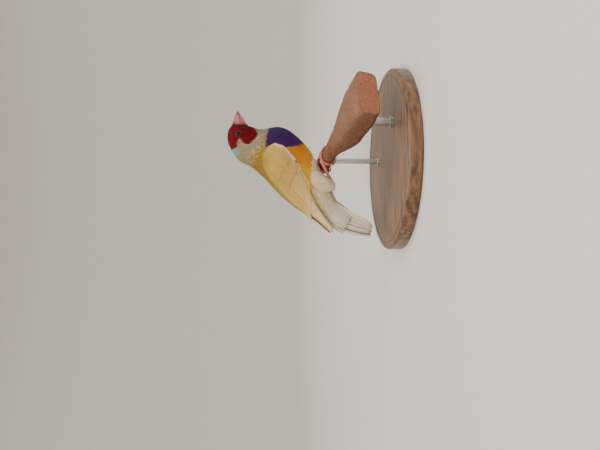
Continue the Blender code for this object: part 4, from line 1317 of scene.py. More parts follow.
def rim_faces(rows, columns):
    """Quads that close a vane's upper and lower sheets along their shared border."""
    size = rows * columns
    border = list(range(columns))
    border += [i * columns + columns - 1 for i in range(1, rows)]
    border += [(rows - 1) * columns + j for j in range(columns - 2, -1, -1)]
    border += [i * columns for i in range(rows - 2, 0, -1)]
    around = zip(border, border[1:] + border[:1])
    return np.array([(b, a, a + size, b + size) for a, b in around])


def sheet_faces(rows, columns):
    """Faces of a closed sheet: its upper side, its lower side and the rim between them."""
    top = grid_faces(rows, columns)
    return np.concatenate((top, top[:, ::-1] + rows * columns, rim_faces(rows, columns)))


def vane_islands(count, tt, bb):
    """A strip of the bake map for each face of each vane, side by side."""
    strips = 2 * count
    columns = math.ceil(math.sqrt(strips * 3))
    rows = math.ceil(strips / columns)
    index = np.arange(strips).reshape(count, 2)
    left = (index % columns)[:, :, None, None] / columns
    low = (index // columns)[:, :, None, None] / rows
    u = left + (0.5 + 0.42 * bb[:, None]) / columns
    v = low + (0.04 + 0.92 * tt[:, None]) / rows
    return np.stack((u, v), axis=-1)


def wing_height(places, shares):
    """How high the folded wing's feathers lie over the body: low along the wing's edges."""
    edge = np.clip(np.minimum(shares / 0.20, (1 - shares) / 0.14), 0, 1)
    front = np.clip((places - WING_FRONT + 0.1) / 1.1, 0, 1)
    return 0.12 + 1.15 * np.sin(edge * math.pi / 2) ** 0.9 * np.sin(front * math.pi / 2) ** 0.7


def wing_shares(places, angles):
    """How far across the folded wing: 0 at its upper edge, 1 at its lower."""
    upper, lower = wing_edges(places)
    return (np.abs(angles) - upper) / np.maximum(lower - upper, 0.2)


def over_wing(surface):
    """A body surface raised by the folded wing's height, so that what lies on it follows the wing."""
    def raised(places, angles, heights):
        return surface(places, angles, heights + wing_height(places, wing_shares(places, angles)))
    return raised


# How much each wing feather is rolled about its shaft, so that the next lies on it.
WING_ROLL = 0.16
# Tiers of the folded wing: count, root and tip stations, root and tip shares across the wing
# (0 at its upper edge, 1 at its lower), lift over the wing's height at root and tip, half width,
# how round the tip is and over how much of its length it closes.
WING_TIERS = {
    "primaries": (
        9, (12.4, 12.8), (16.3, 18.85), (0.50, 0.95), (0.40, 0.60), (-0.75, -0.15), 1.8, 0.2, 0.45
    ),
    "secondaries": (
        8, (11.4, 11.6), (15.9, 14.8), (0.40, 0.95), (0.38, 0.94), (-0.55, 0.05), 1.75, 0.35, 0.25
    ),
    "tertials": (
        4, (10.8, 11.2), (16.2, 15.6), (0.05, 0.32), (0.12, 0.38), (-0.4, 0.3), 2.3, 0.3, 0.35
    ),
    "greater_coverts": (
        10, (10.2, 10.4), (12.9, 12.6), (0.24, 0.94), (0.27, 0.95), (-0.4, 0.2), 1.35, 0.4, 0.22
    ),
    "median_coverts": (
        10, (9.6, 10.0), (11.6, 11.7), (0.22, 0.94), (0.25, 0.95), (-0.35, 0.32), 1.3, 0.4, 0.3
    ),
}


def wing_shade(tier, places, shares):
    """Cream wings, golden along the back, warm in front and near white along the lower edge."""
    place = places[:, :, None]
    share = shares[:, :, None]

    def shade(tt, bb):
        layers = [
            (CREAM, rises(place, 13.4, 4.0)),
            (PALE_GOLD, (1 - rises(share, 0.30, 0.5)) * 0.75),
            (EDGE_CREAM, rises(share, 0.90, 0.16) * 0.7),
            (WARM_WHITE, rises(place, 15.8, 3.0) * 0.45),
            (EDGE_CREAM, rises(np.abs(bb), 0.92, 0.2) * 0.3),
        ]
        if tier in ("primaries", "secondaries"):
            layers.append((EDGE_CREAM, rises(bb, 0.78, 0.25) * 0.4))
            layers.append((TAIL_GREY * 0.8, rises(-bb, 0.3, 0.8) * 0.2))
        return layered(TAN_CREAM, *layers)
    return shade


def lie_on_wing(offsets):
    """Heights over the body for wing feathers, from each row's lift over the wing's own height."""
    def heights(places, angles):
        return wing_height(places, wing_shares(places, angles)) + offsets[..., None]
    return heights


def build_wing_tier(word, side, tier, rng, look):
    count, roots, tips, root_shares, tip_shares, lifts, *blade = WING_TIERS[tier]
    half_width, tip_width, closing = blade
    u = np.linspace(0, 1, count)[:, None]
    t = VANE_STEPS
    tip = between(tips, u) + rng.normal(0, 0.05, (count, 1))
    tip_share = between(tip_shares, u) + rng.normal(0, 0.008, (count, 1))
    places = between((between(roots, u), tip), t)
    shares = between((between(root_shares, u), tip_share), t)
    angles = wing_angles(places, shares, side)
    lift = between(lifts, np.sqrt(t)) + 0 * u
    widths = half_width * (1 + rng.normal(0, 0.04, count))
    options = {"tip": tip_width, "closing": closing, "roll": WING_ROLL, "camber": 0.10}
    section = vane_section(widths, options, rng)
    points = lay_on(wing_surface, lie_on_wing(lift), places, angles, side, section)
    vane_piece(
        "wing_%s_%s" % (word, tier), points, section[3], wing_shade(tier, places, shares), rng,
        look, "olive_plumage", "wing_" + word,
    )


ALULA_WIDTHS = np.array((0.95, 0.7))
# Painted shadow of the gap between the alula and the wing's coverts, laid on the alula's tips.
ALULA_GAP_SHADOW = srgb(58, 30, 18)


def build_alula(word, side, rng, look):
    """The thumb's two small feathers at the wing's lower edge, painted dark at their tips as shadow in
    the gap.
    """
    places = np.array((10.9, 11.15))[:, None] + np.array((1.35, 1.3))[:, None] * VANE_STEPS
    shares = np.array((0.93, 0.97))[:, None] + np.array((0.02, 0.015))[:, None] * VANE_STEPS
    lift = np.array((0.25, 0.1))[:, None] + 0.25 * VANE_STEPS
    options = {"tip": 0.3, "closing": 0.4, "roll": WING_ROLL, "camber": 0.15}
    section = vane_section(ALULA_WIDTHS, options, rng)
    angles = wing_angles(places, shares, side)
    points = lay_on(wing_surface, lie_on_wing(lift), places, angles, side, section)

    def shade(tt, bb):
        colours = mixed(EDGE_CREAM, TAN_CREAM, rises(-bb, 0.2, 0.8) * 0.5)
        # Painted shadow on the tips, deeper on the second feather.
        dark = rises(tt, 0.86, 0.12) * np.array((0.2, 0.9))[:, None, None]
        return mixed(colours, ALULA_GAP_SHADOW, dark)

    vane_piece("wing_%s_alula" % word, points, section[3], shade, rng, look, "olive_plumage")


def wing_flow(places, shares, side):
    """The heading of the wing's own lines, which run at a constant share across it."""
    step = 0.05
    ends = []
    for station in (places, places + step):
        angles = wing_angles(station, shares, side)
        ends.append((angles, ground(wing_surface, station, angles)))
    along, _, normal = slopes(wing_surface, places, ends[0][0])
    forward = unit(along)
    flow = ends[1][1] - ends[0][1]
    sideways = np.cross(normal, forward)
    return np.arctan2(np.sum(flow * sideways, axis=-1), np.sum(flow * forward, axis=-1))


LESSER_FROM, LESSER_TO = WING_FRONT + 0.08, 10.9
LESSER_PITCH = 0.10


def lesser_roots(rng):
    """Roots in rows across the wing's front: their stations and their shares across it."""
    places, shares = [], []
    for place in np.arange(LESSER_FROM, LESSER_TO, LESSER_PITCH):
        number = int(np.interp(place, (LESSER_FROM, 9.6, LESSER_TO), (14, 34, 40)))
        share = ((np.arange(number) + rng.uniform(0.2, 0.8, number)) / number) ** 0.9
        places.append(np.full(number, place) + rng.uniform(-0.05, 0.05, number))
        shares.append(share * 0.975)
    return np.concatenate(places), np.concatenate(shares)


def build_lesser_coverts(word, side, rng, look):
    """Small rounded feathers over the wing's front, finest along its leading edge."""
    places, shares = lesser_roots(rng)
    angles = wing_angles(places, shares, side)
    count = len(places)
    near_edge = np.interp(shares, (0.0, 0.1, 0.8, 0.94), (0.75, 1.0, 1.0, 0.55))
    length = rng.uniform(2.2, 2.9, count) * near_edge
    width = rng.uniform(0.62, 0.82, count) * near_edge
    root = np.full(count, -0.32)
    tip = 0.22 * np.interp(shares, (0.8, 0.95), (1.0, 0.4)) + rng.uniform(-0.03, 0.03, count)
    at = ground(wing_surface, places, angles)
    patch = smooth_noise(at, 2.5, 9)
    shoulder = (1 - rises(places, 9.6, 1.0)) * (1 - rises(np.degrees(np.abs(angles)), 70, 18))
    colours = layered(
        TAN_CREAM,
        (CREAM, patch * 0.25),
        (PALE_GOLD, (1 - rises(shares, 0.30, 0.5)) * 0.6),
        (GOLD_OLIVE, (1 - rises(shares, 0.08, 0.4)) * 0.8),
        (GOLD_OLIVE, shoulder * 0.7),
        (EDGE_CREAM, rises(shares, 0.88, 0.08) * rises(places, 9.25, 0.5) * 0.85),
    )
    along = (places - LESSER_FROM) / (LESSER_TO - LESSER_FROM)
    bake = np.stack((0.02 + 0.96 * along, 0.02 + 0.94 * shares), axis=-1)
    coat_piece(
        "wing_%s_lesser_coverts" % word, over_wing(wing_surface), (places, angles),
        (length, width, root, tip), ROUNDED, colours, bake, rng, look, "olive_plumage",
        turn=wing_flow(places, shares, side), depth=0.12, stray=0.06,
    )


# Rows along the wing's core and columns across it.
CORE_GRID = (60, 24)
CORE_DEPTH = 0.5
# The core is painted this much darker than the feathers over it, as painted shade under them.
CORE_SHADE = 0.75


def build_wing_core(word, side, look):
    """The closed wing under its feathers, a plate that lies on the body."""
    along = np.linspace(WING_FRONT, WING_CORE_END, CORE_GRID[0])
    places, shares = np.meshgrid(along, np.linspace(0.01, 0.99, CORE_GRID[1]), indexing="ij")
    angles = wing_angles(places, shares, side)
    outer = wing_height(places, shares) - CORE_DEPTH
    inner = np.minimum(outer - 0.3, np.interp(places, (13, 15), (-0.9, 0.0)))
    points = [
        wing_surface(places.ravel(), angles.ravel(), heights.ravel()) for heights in (outer, inner)
    ]
    points = np.concatenate(points)
    colours = np.broadcast_to(TAN_CREAM * CORE_SHADE, points.shape)
    made = closed_mesh("wing_%s_core" % word, points, sheet_faces(*CORE_GRID), colours)
    return finish_piece(made, look, "olive_plumage", "wing_" + word)


def build_wings(vane_look, coat_look):
    for word, side in SIDES.items():
        rng = np.random.default_rng(31 + side)
        build_wing_core(word, side, coat_look)
        for tier in WING_TIERS:
            build_wing_tier(word, side, tier, rng, vane_look)
        build_alula(word, side, rng, vane_look)
        build_lesser_coverts(word, side, rng, coat_look)


def bezier(path, t):
    """Points on the curve that leaves the first point towards the second and ends at the third."""
    start, bend, end = path[..., 0, :], path[..., 1, :], path[..., 2, :]
    t = t[..., None]
    return start * (1 - t) ** 2 + bend * 2 * t * (1 - t) + end * t**2


def tail_frames(paths, turns, side):
    """Centre lines and normals of tail vanes on one side, from their paths and turns."""
    centres = bezier(paths[:, None], np.broadcast_to(VANE_STEPS, (len(paths), VANE_ROWS)))
    centres = centres * np.array((1.0, side, 1.0))
    tangents = unit(np.gradient(centres, axis=1))
    back = np.stack((tangents[..., 2], 0 * tangents[..., 0], -tangents[..., 0]), axis=-1)
    back = np.where(back[..., :1] > 0, -back, back)
    outward = np.array((0.0, float(side), 0.0))
    turns = turns[:, None, None]
    return centres, back * np.cos(turns) + outward * np.sin(turns)


def tail_shade(tt, bb):
    return layered(
        TAIL_WHITE,
        # Grey towards the tip, and grey at the root as painted shadow from the wings over it.
        (TAIL_GREY, rises(tt, 0.8, 0.6) * 0.4 + (1 - rises(tt, 0.4, 0.6)) * 0.4),
        (WARM_WHITE, rises(np.abs(bb), 0.85, 0.3) * 0.5),
        (CREAM, (1 - rises(tt, 0.3, 0.5)) * 0.35),
    )


# The tail's coverts are painted this much darker than its feathers, as painted shadow from the wings
# over them.
COVERT_SHADE = 0.87


def covert_shade(tt, bb):
    return tail_shade(tt, bb) * COVERT_SHADE


# Coverts over and under the tail: root, bend, tip, how far they face sideways, half width.
TAIL_COVERTS = (
    ((-34.5, 0.7, 3.5), (-40.0, 0.9, -2.5), (-44.6, 1.0, -10.0), 15, 2.0),
    ((-35.5, 0.8, 1.5), (-42.0, 1.0, -5.5), (-46.6, 1.2, -13.5), 20, 2.2),
    ((-34.5, 1.6, 1.0), (-40.6, 2.0, -6.0), (-45.2, 2.2, -14.5), 40, 2.2),
    ((-33.0, 2.4, 0.5), (-39.0, 2.9, -7.0), (-43.4, 3.0, -15.5), 55, 2.4),
    ((-31.0, 3.0, -0.5), (-37.0, 3.7, -8.0), (-41.4, 3.8, -16.5), 68, 2.4),
    ((-29.0, 3.4, -2.0), (-35.0, 4.3, -9.0), (-39.6, 4.4, -17.5), 80, 2.5),
    ((-27.0, 3.3, -3.2), (-33.0, 4.3, -10.0), (-37.8, 4.3, -18.6), 88, 2.5),
    ((-25.5, 3.0, -4.5), (-31.0, 4.1, -11.0), (-36.2, 4.0, -19.5), 95, 2.5),
    ((-24.5, 2.2, -5.6), (-30.0, 3.0, -12.2), (-35.6, 3.0, -20.4), 120, 2.4),
    ((-23.5, 1.2, -6.5), (-29.0, 1.8, -13.4), (-35.2, 1.8, -21.0), 150, 2.3),
)
TAIL_PAIRS = 6
TAIL_HALF_WIDTH = 2.7
TAIL_VANE = {"tip": 0.35, "closing": 0.16, "roll": 0.0, "camber": 0.06, "thick": 0.12}
TAIL_COVERT = {"tip": 0.3, "closing": 0.4, "roll": 0.0, "camber": 0.25}


def hang_tail_vanes(name, paths, turns, lifts, widths, options, shade, side, rng, look):
    """Tail vanes on one side, each lifted by its own height the way that it faces."""
    centres, normals = tail_frames(paths, turns, side)
    centres = centres + normals * lifts[:, None, None]
    section = vane_section(widths, options, rng)
    points = hang_free(centres, normals, section)
    vane_piece(name, points, section[3], shade, rng, look, "cream_plumage", "tail")


def build_tail(look):
    """Twelve tail feathers, the middle pair on top, and the coverts over and under them."""
    rng = np.random.default_rng(41)
    order = np.arange(TAIL_PAIRS)
    share = np.linspace(0, 1, TAIL_PAIRS)
    paths = TAIL_TOP * (1 - share[:, None, None]) + TAIL_LOW * share[:, None, None]
    turns = TAIL_OUTER_TURN * share**0.35
    covert_paths = np.array([row[:3] for row in TAIL_COVERTS])
    covert_turns, covert_widths = np.array([row[3:] for row in TAIL_COVERTS]).T
    rank = np.abs(np.arange(len(TAIL_COVERTS)) - 4)
    for word, side in SIDES.items():
        tips = paths.copy()
        tips[:, 2, 2] += 0.7 * np.sin(3.0 * order + side)
        hang_tail_vanes(
            "tail_feathers_" + word, tips, turns, 0.14 * order[::-1],
            np.full(TAIL_PAIRS, TAIL_HALF_WIDTH), TAIL_VANE, tail_shade, side, rng, look,
        )
        hang_tail_vanes(
            "tail_coverts_" + word, covert_paths, np.radians(covert_turns), 0.35 - 0.05 * rank,
            covert_widths, TAIL_COVERT, covert_shade, side, rng, look,
        )


def build_tail_core(look):
    """The tail's fleshy root between the feathers, kept inside them."""
    rows, columns = 16, 20
    t = np.linspace(-0.08, 0.5, rows)
    top = bezier(TAIL_TOP[None], t)
    low = bezier(TAIL_LOW[None], t)
    middle = (top + low) / 2
    middle[:, 1] = 0.0
    half = np.linalg.norm((top - low)[:, (0, 2)], axis=-1) / 2 * (0.92 - 0.7 * t)
    tangent = unit(np.gradient(middle, axis=0))
    flat = np.array((0.0, 1.0, 0.0))
    other = np.cross(tangent, flat)
    angle = full_turn(columns)
    ring = flat * np.cos(angle)[:, None] * 0.62
    points = middle[:, None] + half[:, None, None] * (
        ring[None] + other[:, None] * np.sin(angle)[None, :, None]
    )
    made = closed_tube("tail_core", points, np.broadcast_to(TAIL_GREY, points.shape))
    return finish_piece(made, look, "cream_plumage", "tail")


# Bill, eyes, legs.


def bill_colours(points, is_upper, mouth, low, high):
    """Pink, darker at the base and along the edges, with a crimson tip."""
    x = points[..., 0]
    share = np.clip((points[..., 2] - low) / np.maximum(high - low, 0.1), 0, 1)
    outer = share if is_upper else 1 - share
    return layered(
        BILL_PINK,
        (BILL_PALE, outer * 0.3 if is_upper else outer),
        (BILL_BASE_RED, (1 - rises(x, BILL_BASE_X + 1.6, 2.6)) * 0.8),
        (BILL_TIP_RED, rises(x, BILL_TIP[0] - 3.0, 2.6) * 0.92),
        (BILL_BASE_RED, np.exp(-((points[..., 2] - mouth) / 0.35) ** 2) * 0.55),
        (BILL_TIP_RED, rises(outer, 0.93, 0.1) * 0.35),
    )


def sink_nostrils(points, colours):
    """The upper bill's points and colours with a small dark pit for each nostril."""
    for side in SIDES.values():
        away = (points - NOSTRIL * np.array((1, side, 1))) / NOSTRIL_SIZE
        away = np.linalg.norm(away, axis=-1)
        pit = np.exp(-((away / 0.72) ** 4))
        points = points - pit[..., None] * np.array((-0.05, 0.42 * side, 0.42))
        colours = mixed(colours, NOSTRIL_DARK, np.exp(-((away / 0.85) ** 4)))
    return points, colours


BILL_ROWS, BILL_COLUMNS = 120, 97
# The lower half is this many millimetres shorter, and this share of the upper half's width.
LOWER_BILL_SHORT = 0.9
LOWER_BILL_WIDTH = 0.955


def build_bill_half(name, is_upper, look):
    """One half of the cone-shaped bill, arched across. The upper half's edges lap the lower's."""
    t = np.linspace(-0.12, 1, BILL_ROWS)[:, None]
    length = BILL_TIP[0] - BILL_BASE_X
    reach = length if is_upper else length - LOWER_BILL_SHORT
    x = BILL_BASE_X + reach * t
    inside = np.clip(t, 0, 1)
    whole = np.clip((x - BILL_BASE_X) / length, 0, 1)
    base = np.where(t < 0, 0.94, 1.0)
    mouth = MOUTH_Z - 0.25 * np.exp(-whole / 0.10) + (BILL_TIP[2] - 0.45 - MOUTH_Z) * whole**0.95
    culmen = BILL_TOP_Z + (BILL_TIP[2] - 0.1 - BILL_TOP_Z) * (0.62 * whole + 0.38 * whole**2)
    gonys = BILL_BOTTOM_Z + (BILL_TIP[2] - 0.75 - BILL_BOTTOM_Z) * (0.88 * inside + 0.12 * inside**2)
    width = BILL_HALF_WIDTH * (1 - 0.975 * inside) * (1 + 0.16 * np.sin(math.pi * inside)) * base
    if is_upper:
        sign = 1
        edge = mouth - 0.14 * (1 - whole)
        height = np.maximum(culmen - edge, 0.2)
    else:
        sign = -1
        width = width * LOWER_BILL_WIDTH
        edge = mouth + 0.12
        height = np.maximum(edge - gonys, 0.2)
    height = height * base
    angle = np.linspace(0, math.pi, BILL_COLUMNS)[None, :]
    streaks = 1 + 0.002 * np.sin(angle * 34) * (1 - whole)
    y = width * np.cos(angle) * streaks
    z = edge + sign * height * np.sin(angle) ** 0.88 * streaks
    points = np.stack((x + 0 * y, y, z), axis=-1)
    low = np.minimum(edge, edge + sign * height)
    high = np.maximum(edge, edge + sign * height)
    colours = bill_colours(points, is_upper, mouth, low, high)
    if is_upper:
        points, colours = sink_nostrils(points, colours)
    made = closed_tube(name, points, colours, BILL_EDGE)
    node_name = "bill_upper" if is_upper else "bill_lower"
    return finish_piece(made, look, "bill_horn", node_name)


def eye_frame(side):
    """The eyeball's centre, the way it faces, the head's surface there, and two ways across."""
    place = np.array(EYE_PLACE)
    angle = np.array(side * EYE_ANGLE)
    surface = body_surface(place, angle, np.array(0.0))
    outward = loft_normals(BODY_RUN, place, angle)
    along = unit(np.cross((0.0, 0.0, 1.0), outward))
    upward = np.cross(outward, along)
    sink = math.sqrt(EYE_RADIUS**2 - EYE_SHOWN_RADIUS**2)
    return surface - outward * sink, outward, surface, along, upward


EYE_GRID = (28, 40)


def build_eye(word, side, look):
    """An eyeball with a dark pupil, bulged a little at its front."""
    centre, outward, _, along, upward = eye_frame(side)
    polar = np.linspace(0, math.pi, EYE_GRID[0])[:, None]
    turn = full_turn(EYE_GRID[1])[None, :]
    radius = EYE_RADIUS * (1 + 0.03 * np.exp(-((polar / 0.35) ** 2)))
    away = np.sin(polar) * radius
    points = centre + (
        outward * (np.cos(polar) * radius + 0 * turn)[..., None]
        + along * (away * np.cos(turn))[..., None]
        + upward * (away * np.sin(turn))[..., None]
    )
    pupil = 1 - rises(polar + 0 * turn, 0.52, 0.06)
    colours = mixed(IRIS, PUPIL, pupil)
    made = closed_mesh("eyeball_" + word, points, grid_faces(*EYE_GRID, closed=True), colours)
    return finish_piece(made, look, "eye", "eye_" + word)


# The lids' section: distance from the eye's axis and height over the head, from the inner edge
# against the eyeball over the lid's crest and down under the feathers.
LID_SECTION = np.array((
    (1.52, 0.10), (1.58, 0.27), (1.66, 0.34), (1.75, 0.32), (1.85, 0.20), (1.97, 0.02),
    (2.12, -0.16), (2.35, -0.40), (2.35, -0.9), (1.52, -0.9),
))
LID_TURNS = 120


def build_lids(word, side, look):
    """The two lids: a thin wrinkled rim that slopes from the eyeball down under the feathers."""
    _, outward, surface, along, upward = eye_frame(side)
    around = full_turn(LID_TURNS)[:, None]
    long = np.abs(np.cos(around)) ** 2
    way = along * np.cos(around)[..., None] + upward * np.sin(around)[..., None]
    away, high = LID_SECTION.T[:, None]
    reach = away * (0.94 + 0.12 * long)
    crest = np.exp(-(((away - 1.72) / 0.18) ** 2))
    wrinkles = 0.035 * np.sin(around * 24) * crest + 0.02 * np.sin(around * 41 + 1.0) * crest
    height = high + wrinkles
    points = surface + way * reach[..., None] + outward * height[..., None]
    inner = 1 - rises(away, 1.68, 0.2) + 0 * around
    outer = np.clip((away - 1.8) / 0.3, 0, 1)
    colours = mixed(mixed(LID_RIM, LID_INNER, inner), DARK_CRIMSON, outer)
    sides = len(LID_SECTION)
    faces = grid_faces(LID_TURNS + 1, sides, closed=True) % (LID_TURNS * sides)
    made = closed_mesh("lids_" + word, points, faces, colours)
    return finish_piece(made, look, "leg_skin", "head")


def perch_axes():
    """Along the perch, level across it towards the bird's front, and up from it."""
    along = unit(PERCH_END - PERCH_START)
    across = unit(np.array((-along[1], along[0], 0.0)))
    return along, across, np.cross(along, across)


def perch_rows(distances):
    along, across, upward = perch_axes()
    stations = [row[0] for row in PERCH_STATIONS]
    row = rows_at(PERCH_STATIONS, np.interp(distances, stations, np.arange(len(stations))))
    centre = PERCH_START + along * distances[..., None]
    centre = centre + across * row[..., 1:2] + upward * row[..., 2:3]
    return centre, row[..., 3], row[..., 4]


def perch_point(distance, angle, offset):
    """A point round the perch: angle 90 degrees is its top and 0 its front, ahead of the bird."""
    _, across, upward = perch_axes()
    centre, half_width, half_height = perch_rows(np.asarray(distance, dtype=float))
    wide = ((half_width + offset) * np.cos(angle))[..., None]
    high = ((half_height + offset) * np.sin(angle))[..., None]
    return centre + across * wide + upward * high


def tube_points(path, radii, sides, side_hint, ridges=None):
    """Rings of points round a path. Ridges, if any, scale each ring's front."""
    tangent = unit(np.gradient(path, axis=0))
    side = np.zeros_like(path)
    current = np.asarray(side_hint, dtype=float)
    for i, ahead in enumerate(tangent):
        current = unit(current - ahead * current.dot(ahead))
        side[i] = current
    other = np.cross(tangent, side)
    angle = full_turn(sides)[None, :]
    reach = side[:, None] * np.cos(angle)[..., None] + other[:, None] * np.sin(angle)[..., None]
    size = radii[:, None] * (1 if ridges is None else ridges)
    return path[:, None] + reach * (size * np.ones_like(angle))[..., None]


def join_tubes(name, tubes, look, slot, *nodes):
    """One object from several closed tubes, each (points, colours)."""
    points, faces, colours = [], [], []
    base = 0
    for ring_points, tube_colours in tubes:
        rows, sides, _ = ring_points.shape
        points.append(ring_points.reshape(-1, 3))
        colours.append(np.broadcast_to(tube_colours, ring_points.shape).reshape(-1, 3))
        faces += [[base + k for k in face] for face in tube_faces(rows, sides)]
        base += rows * sides
    made = closed_mesh(name, np.concatenate(points), faces, np.concatenate(colours))
    return finish_piece(made, look, slot, *nodes)


# The share of a toe at which its claw starts, and the plates along a toe and a shank.
CLAW_FROM = 0.76
TOE_SCUTES = 15
SHANK_SCUTES = 12


def scute_ridges(t, count):
    """Overlapping plates along a leg or toe: each swells towards its lower edge."""
    phase = np.mod(t * count, 1.0)
    return 1 + 0.05 * phase**1.5 - 0.01


def scute_grooves(t, count):
    """How deep in a groove between plates each point is, from 0 to 1."""
    return np.clip((1.01 - scute_ridges(t, count)) * 25, 0, 1)


def build_toe(station, spread, claw_angle, girth):
    """One toe from the palm round the perch to its claw: rings of points and their colours."""
    rows, sides = 110, 16
    t = np.linspace(0, 1, rows)
    angle = between((PALM_ANGLE, claw_angle), t)
    knuckle = 1 + 0.12 * np.cos(2 * math.pi * t * 3.5)
    thick = TOE_RADIUS * girth * knuckle * (1 - 0.25 * t) * scute_ridges(t, TOE_SCUTES)
    nail = CLAW_RADIUS * (1 - 0.82 * np.clip((t - CLAW_FROM) / (1 - CLAW_FROM), 0, 1))
    radius = np.where(t > CLAW_FROM, nail, thick)
    distance = station + spread * np.minimum(1.0, 1.5 * t)
    path = perch_point(distance, angle, TOUCHING_GAP * 0.3 + np.maximum(radius, 0.3))
    # Painted shade in the grooves between the plates.
    shade = mixed(LEG_PINK, LEG_DEEP, scute_grooves(t, TOE_SCUTES) * 0.6)
    shade = np.where(t[:, None] > CLAW_FROM, CLAW_PINK, shade)
    return tube_points(path, radius, sides, perch_axes()[0]), shade[:, None]


def build_foot(word, side, look):
    """Palm and toes with scutes, pads under the joints and curved claws."""
    station = FOOT_STATION[side]
    tubes = [build_toe(station, *toe) for toe in TOES]
    palm = perch_point(station, PALM_ANGLE, TOUCHING_GAP + TOE_RADIUS + 0.1)
    polar = np.linspace(0.02, math.pi - 0.02, 18)
    ball = palm + np.stack((0 * polar, 0 * polar, -np.cos(polar) * PALM_RADIUS), axis=-1)
    rings = tube_points(ball, np.sin(polar) * PALM_RADIUS, 16, (1.0, 0.0, 0.0))
    tubes.append((rings, LEG_PINK))
    return join_tubes("toes_" + word, tubes, look, "leg_skin", "foot_" + word)


def build_shank(word, side, look):
    station = FOOT_STATION[side]
    ankle = perch_point(station, PALM_ANGLE, TOUCHING_GAP + TOE_RADIUS + 0.6)
    hock = HOCK * np.array((1, side, 1))
    start = hock + unit(hock - ankle) * TARSUS_RADIUS * 1.2
    rows, sides = 90, 20
    t = np.linspace(0, 1, rows)
    path = start + (ankle - start) * t[:, None]
    girth = np.interp(t, (0, 0.12, 0.5, 0.85, 1.0), (1.3, 1.2, 0.92, 0.95, 1.2))
    angle = full_turn(sides)[None, :]
    front = rises(np.cos(angle - math.pi / 2), 0.0, 0.8)
    ridges = 1 + (scute_ridges(t, SHANK_SCUTES)[:, None] - 1) * front
    points = tube_points(path, TARSUS_RADIUS * girth, sides, (0.0, 1.0, 0.0), ridges)
    # Painted shade in the grooves between the plates on the shank's front.
    crease = scute_grooves(t, SHANK_SCUTES)[:, None] * front
    colours = mixed(LEG_PINK, LEG_DEEP, crease * 0.7)
    return join_tubes("tarsus_" + word, [(points, colours)], look, "leg_skin", "shank_" + word)


# Perch and stand.

PERCH_ROWS, PERCH_COLUMNS = 260, 200
# Rings over the perch's two end faces.
START_RINGS, END_RINGS = 6, 22


def perch_shape():
    """The perch's smooth rings: their middles, offsets from them, and how far each point is up."""
    distances = np.linspace(PERCH_STATIONS[0][0], PERCH_STATIONS[-1][0], PERCH_ROWS)
    centre, half_width, half_height = perch_rows(distances)
    _, across, upward = perch_axes()
    turned = np.clip((distances - PERCH_SQUARES_FROM) / PERCH_SQUARES_OVER, 0, 1)
    power = (1 - PERCH_SQUARENESS * turned)[:, None]
    angle = full_turn(PERCH_COLUMNS)[None, :]
    cosine, sine = np.cos(angle), np.sin(angle)
    even = np.abs(cosine) ** (2 / power) + np.abs(sine) ** (2 / power)
    wide = np.sign(cosine) * np.abs(cosine) / even ** (power / 2)
    high = np.sign(sine) * np.abs(sine) / even ** (power / 2)
    offset = across * (wide * half_width[:, None])[..., None]
    offset = offset + upward * (high * half_height[:, None])[..., None]
    return distances, centre, offset, high


def build_perch(look):
    """The perch with its sand coat raised in grains, paler on its top, redder on its end."""
    distances, centre, offset, high = perch_shape()
    points = centre[:, None] + offset
    grip = np.exp(-(((distances + 5.0) / 9.0) ** 2))[:, None]
    rough = smooth_noise(points, 0.55, 51) + 0.6 * smooth_noise(points, 1.3, 52) - 0.8
    dents = smooth_noise(points, 5.0, 53) - 0.5
    lift = rough * 0.28 * (1 - 0.6 * grip) + dents * 0.5 * (1 - grip) - 0.25
    points = points + unit(offset) * lift[..., None]
    patches = smooth_noise(points, 7.0, 55)
    start_cap = [centre[0] + offset[0] * share for share in np.linspace(0.1, 0.9, START_RINGS)]
    end_cap = []
    for share in np.linspace(0.9, 0.02, END_RINGS):
        ring = centre[-1] + offset[-1] * share
        grain = smooth_noise(ring, 0.6, 54) - 0.5
        end_cap.append(ring + perch_axes()[0] * (grain * 0.3 - 0.15)[:, None])
    points = np.concatenate((np.array(start_cap), points, np.array(end_cap)))
    # Paler towards the top.
    colours = mixed(SANDY, PALE_TOP_SAND, rises(high, 0.55, 0.5) * 0.7)
    colours = mixed(colours, DARK_SAND, (patches - 0.3) * 0.6)
    first = np.broadcast_to(SANDY, (START_RINGS, PERCH_COLUMNS, 3))
    last = np.broadcast_to(RED_SAND, (END_RINGS, PERCH_COLUMNS, 3))
    made = closed_tube("sanded_perch", points, np.concatenate((first, colours, last)))
    return finish_piece(made, look, "sanded_perch", "perch")


def upright(box):
    """The middle, radius, bottom and top in millimetres of a round solid's box."""
    low, high = box
    centre = np.array(((low.x + high.x) / 2, (low.y + high.y) / 2)) / MM
    return centre, (high.x - low.x) / 2 / MM, low.z / MM, high.z / MM


def turned_rings(profile, segments, centre=(0.0, 0.0), least=0.0):
    """Rings round an upright axis from a profile's distances from it and heights."""
    angle = full_turn(segments)[None, :]
    reach, height = np.array(profile).T[..., None]
    reach = np.maximum(reach, least)
    return np.stack(
        (centre[0] + reach * np.cos(angle), centre[1] + reach * np.sin(angle), height + 0 * angle),
        axis=-1,
    )


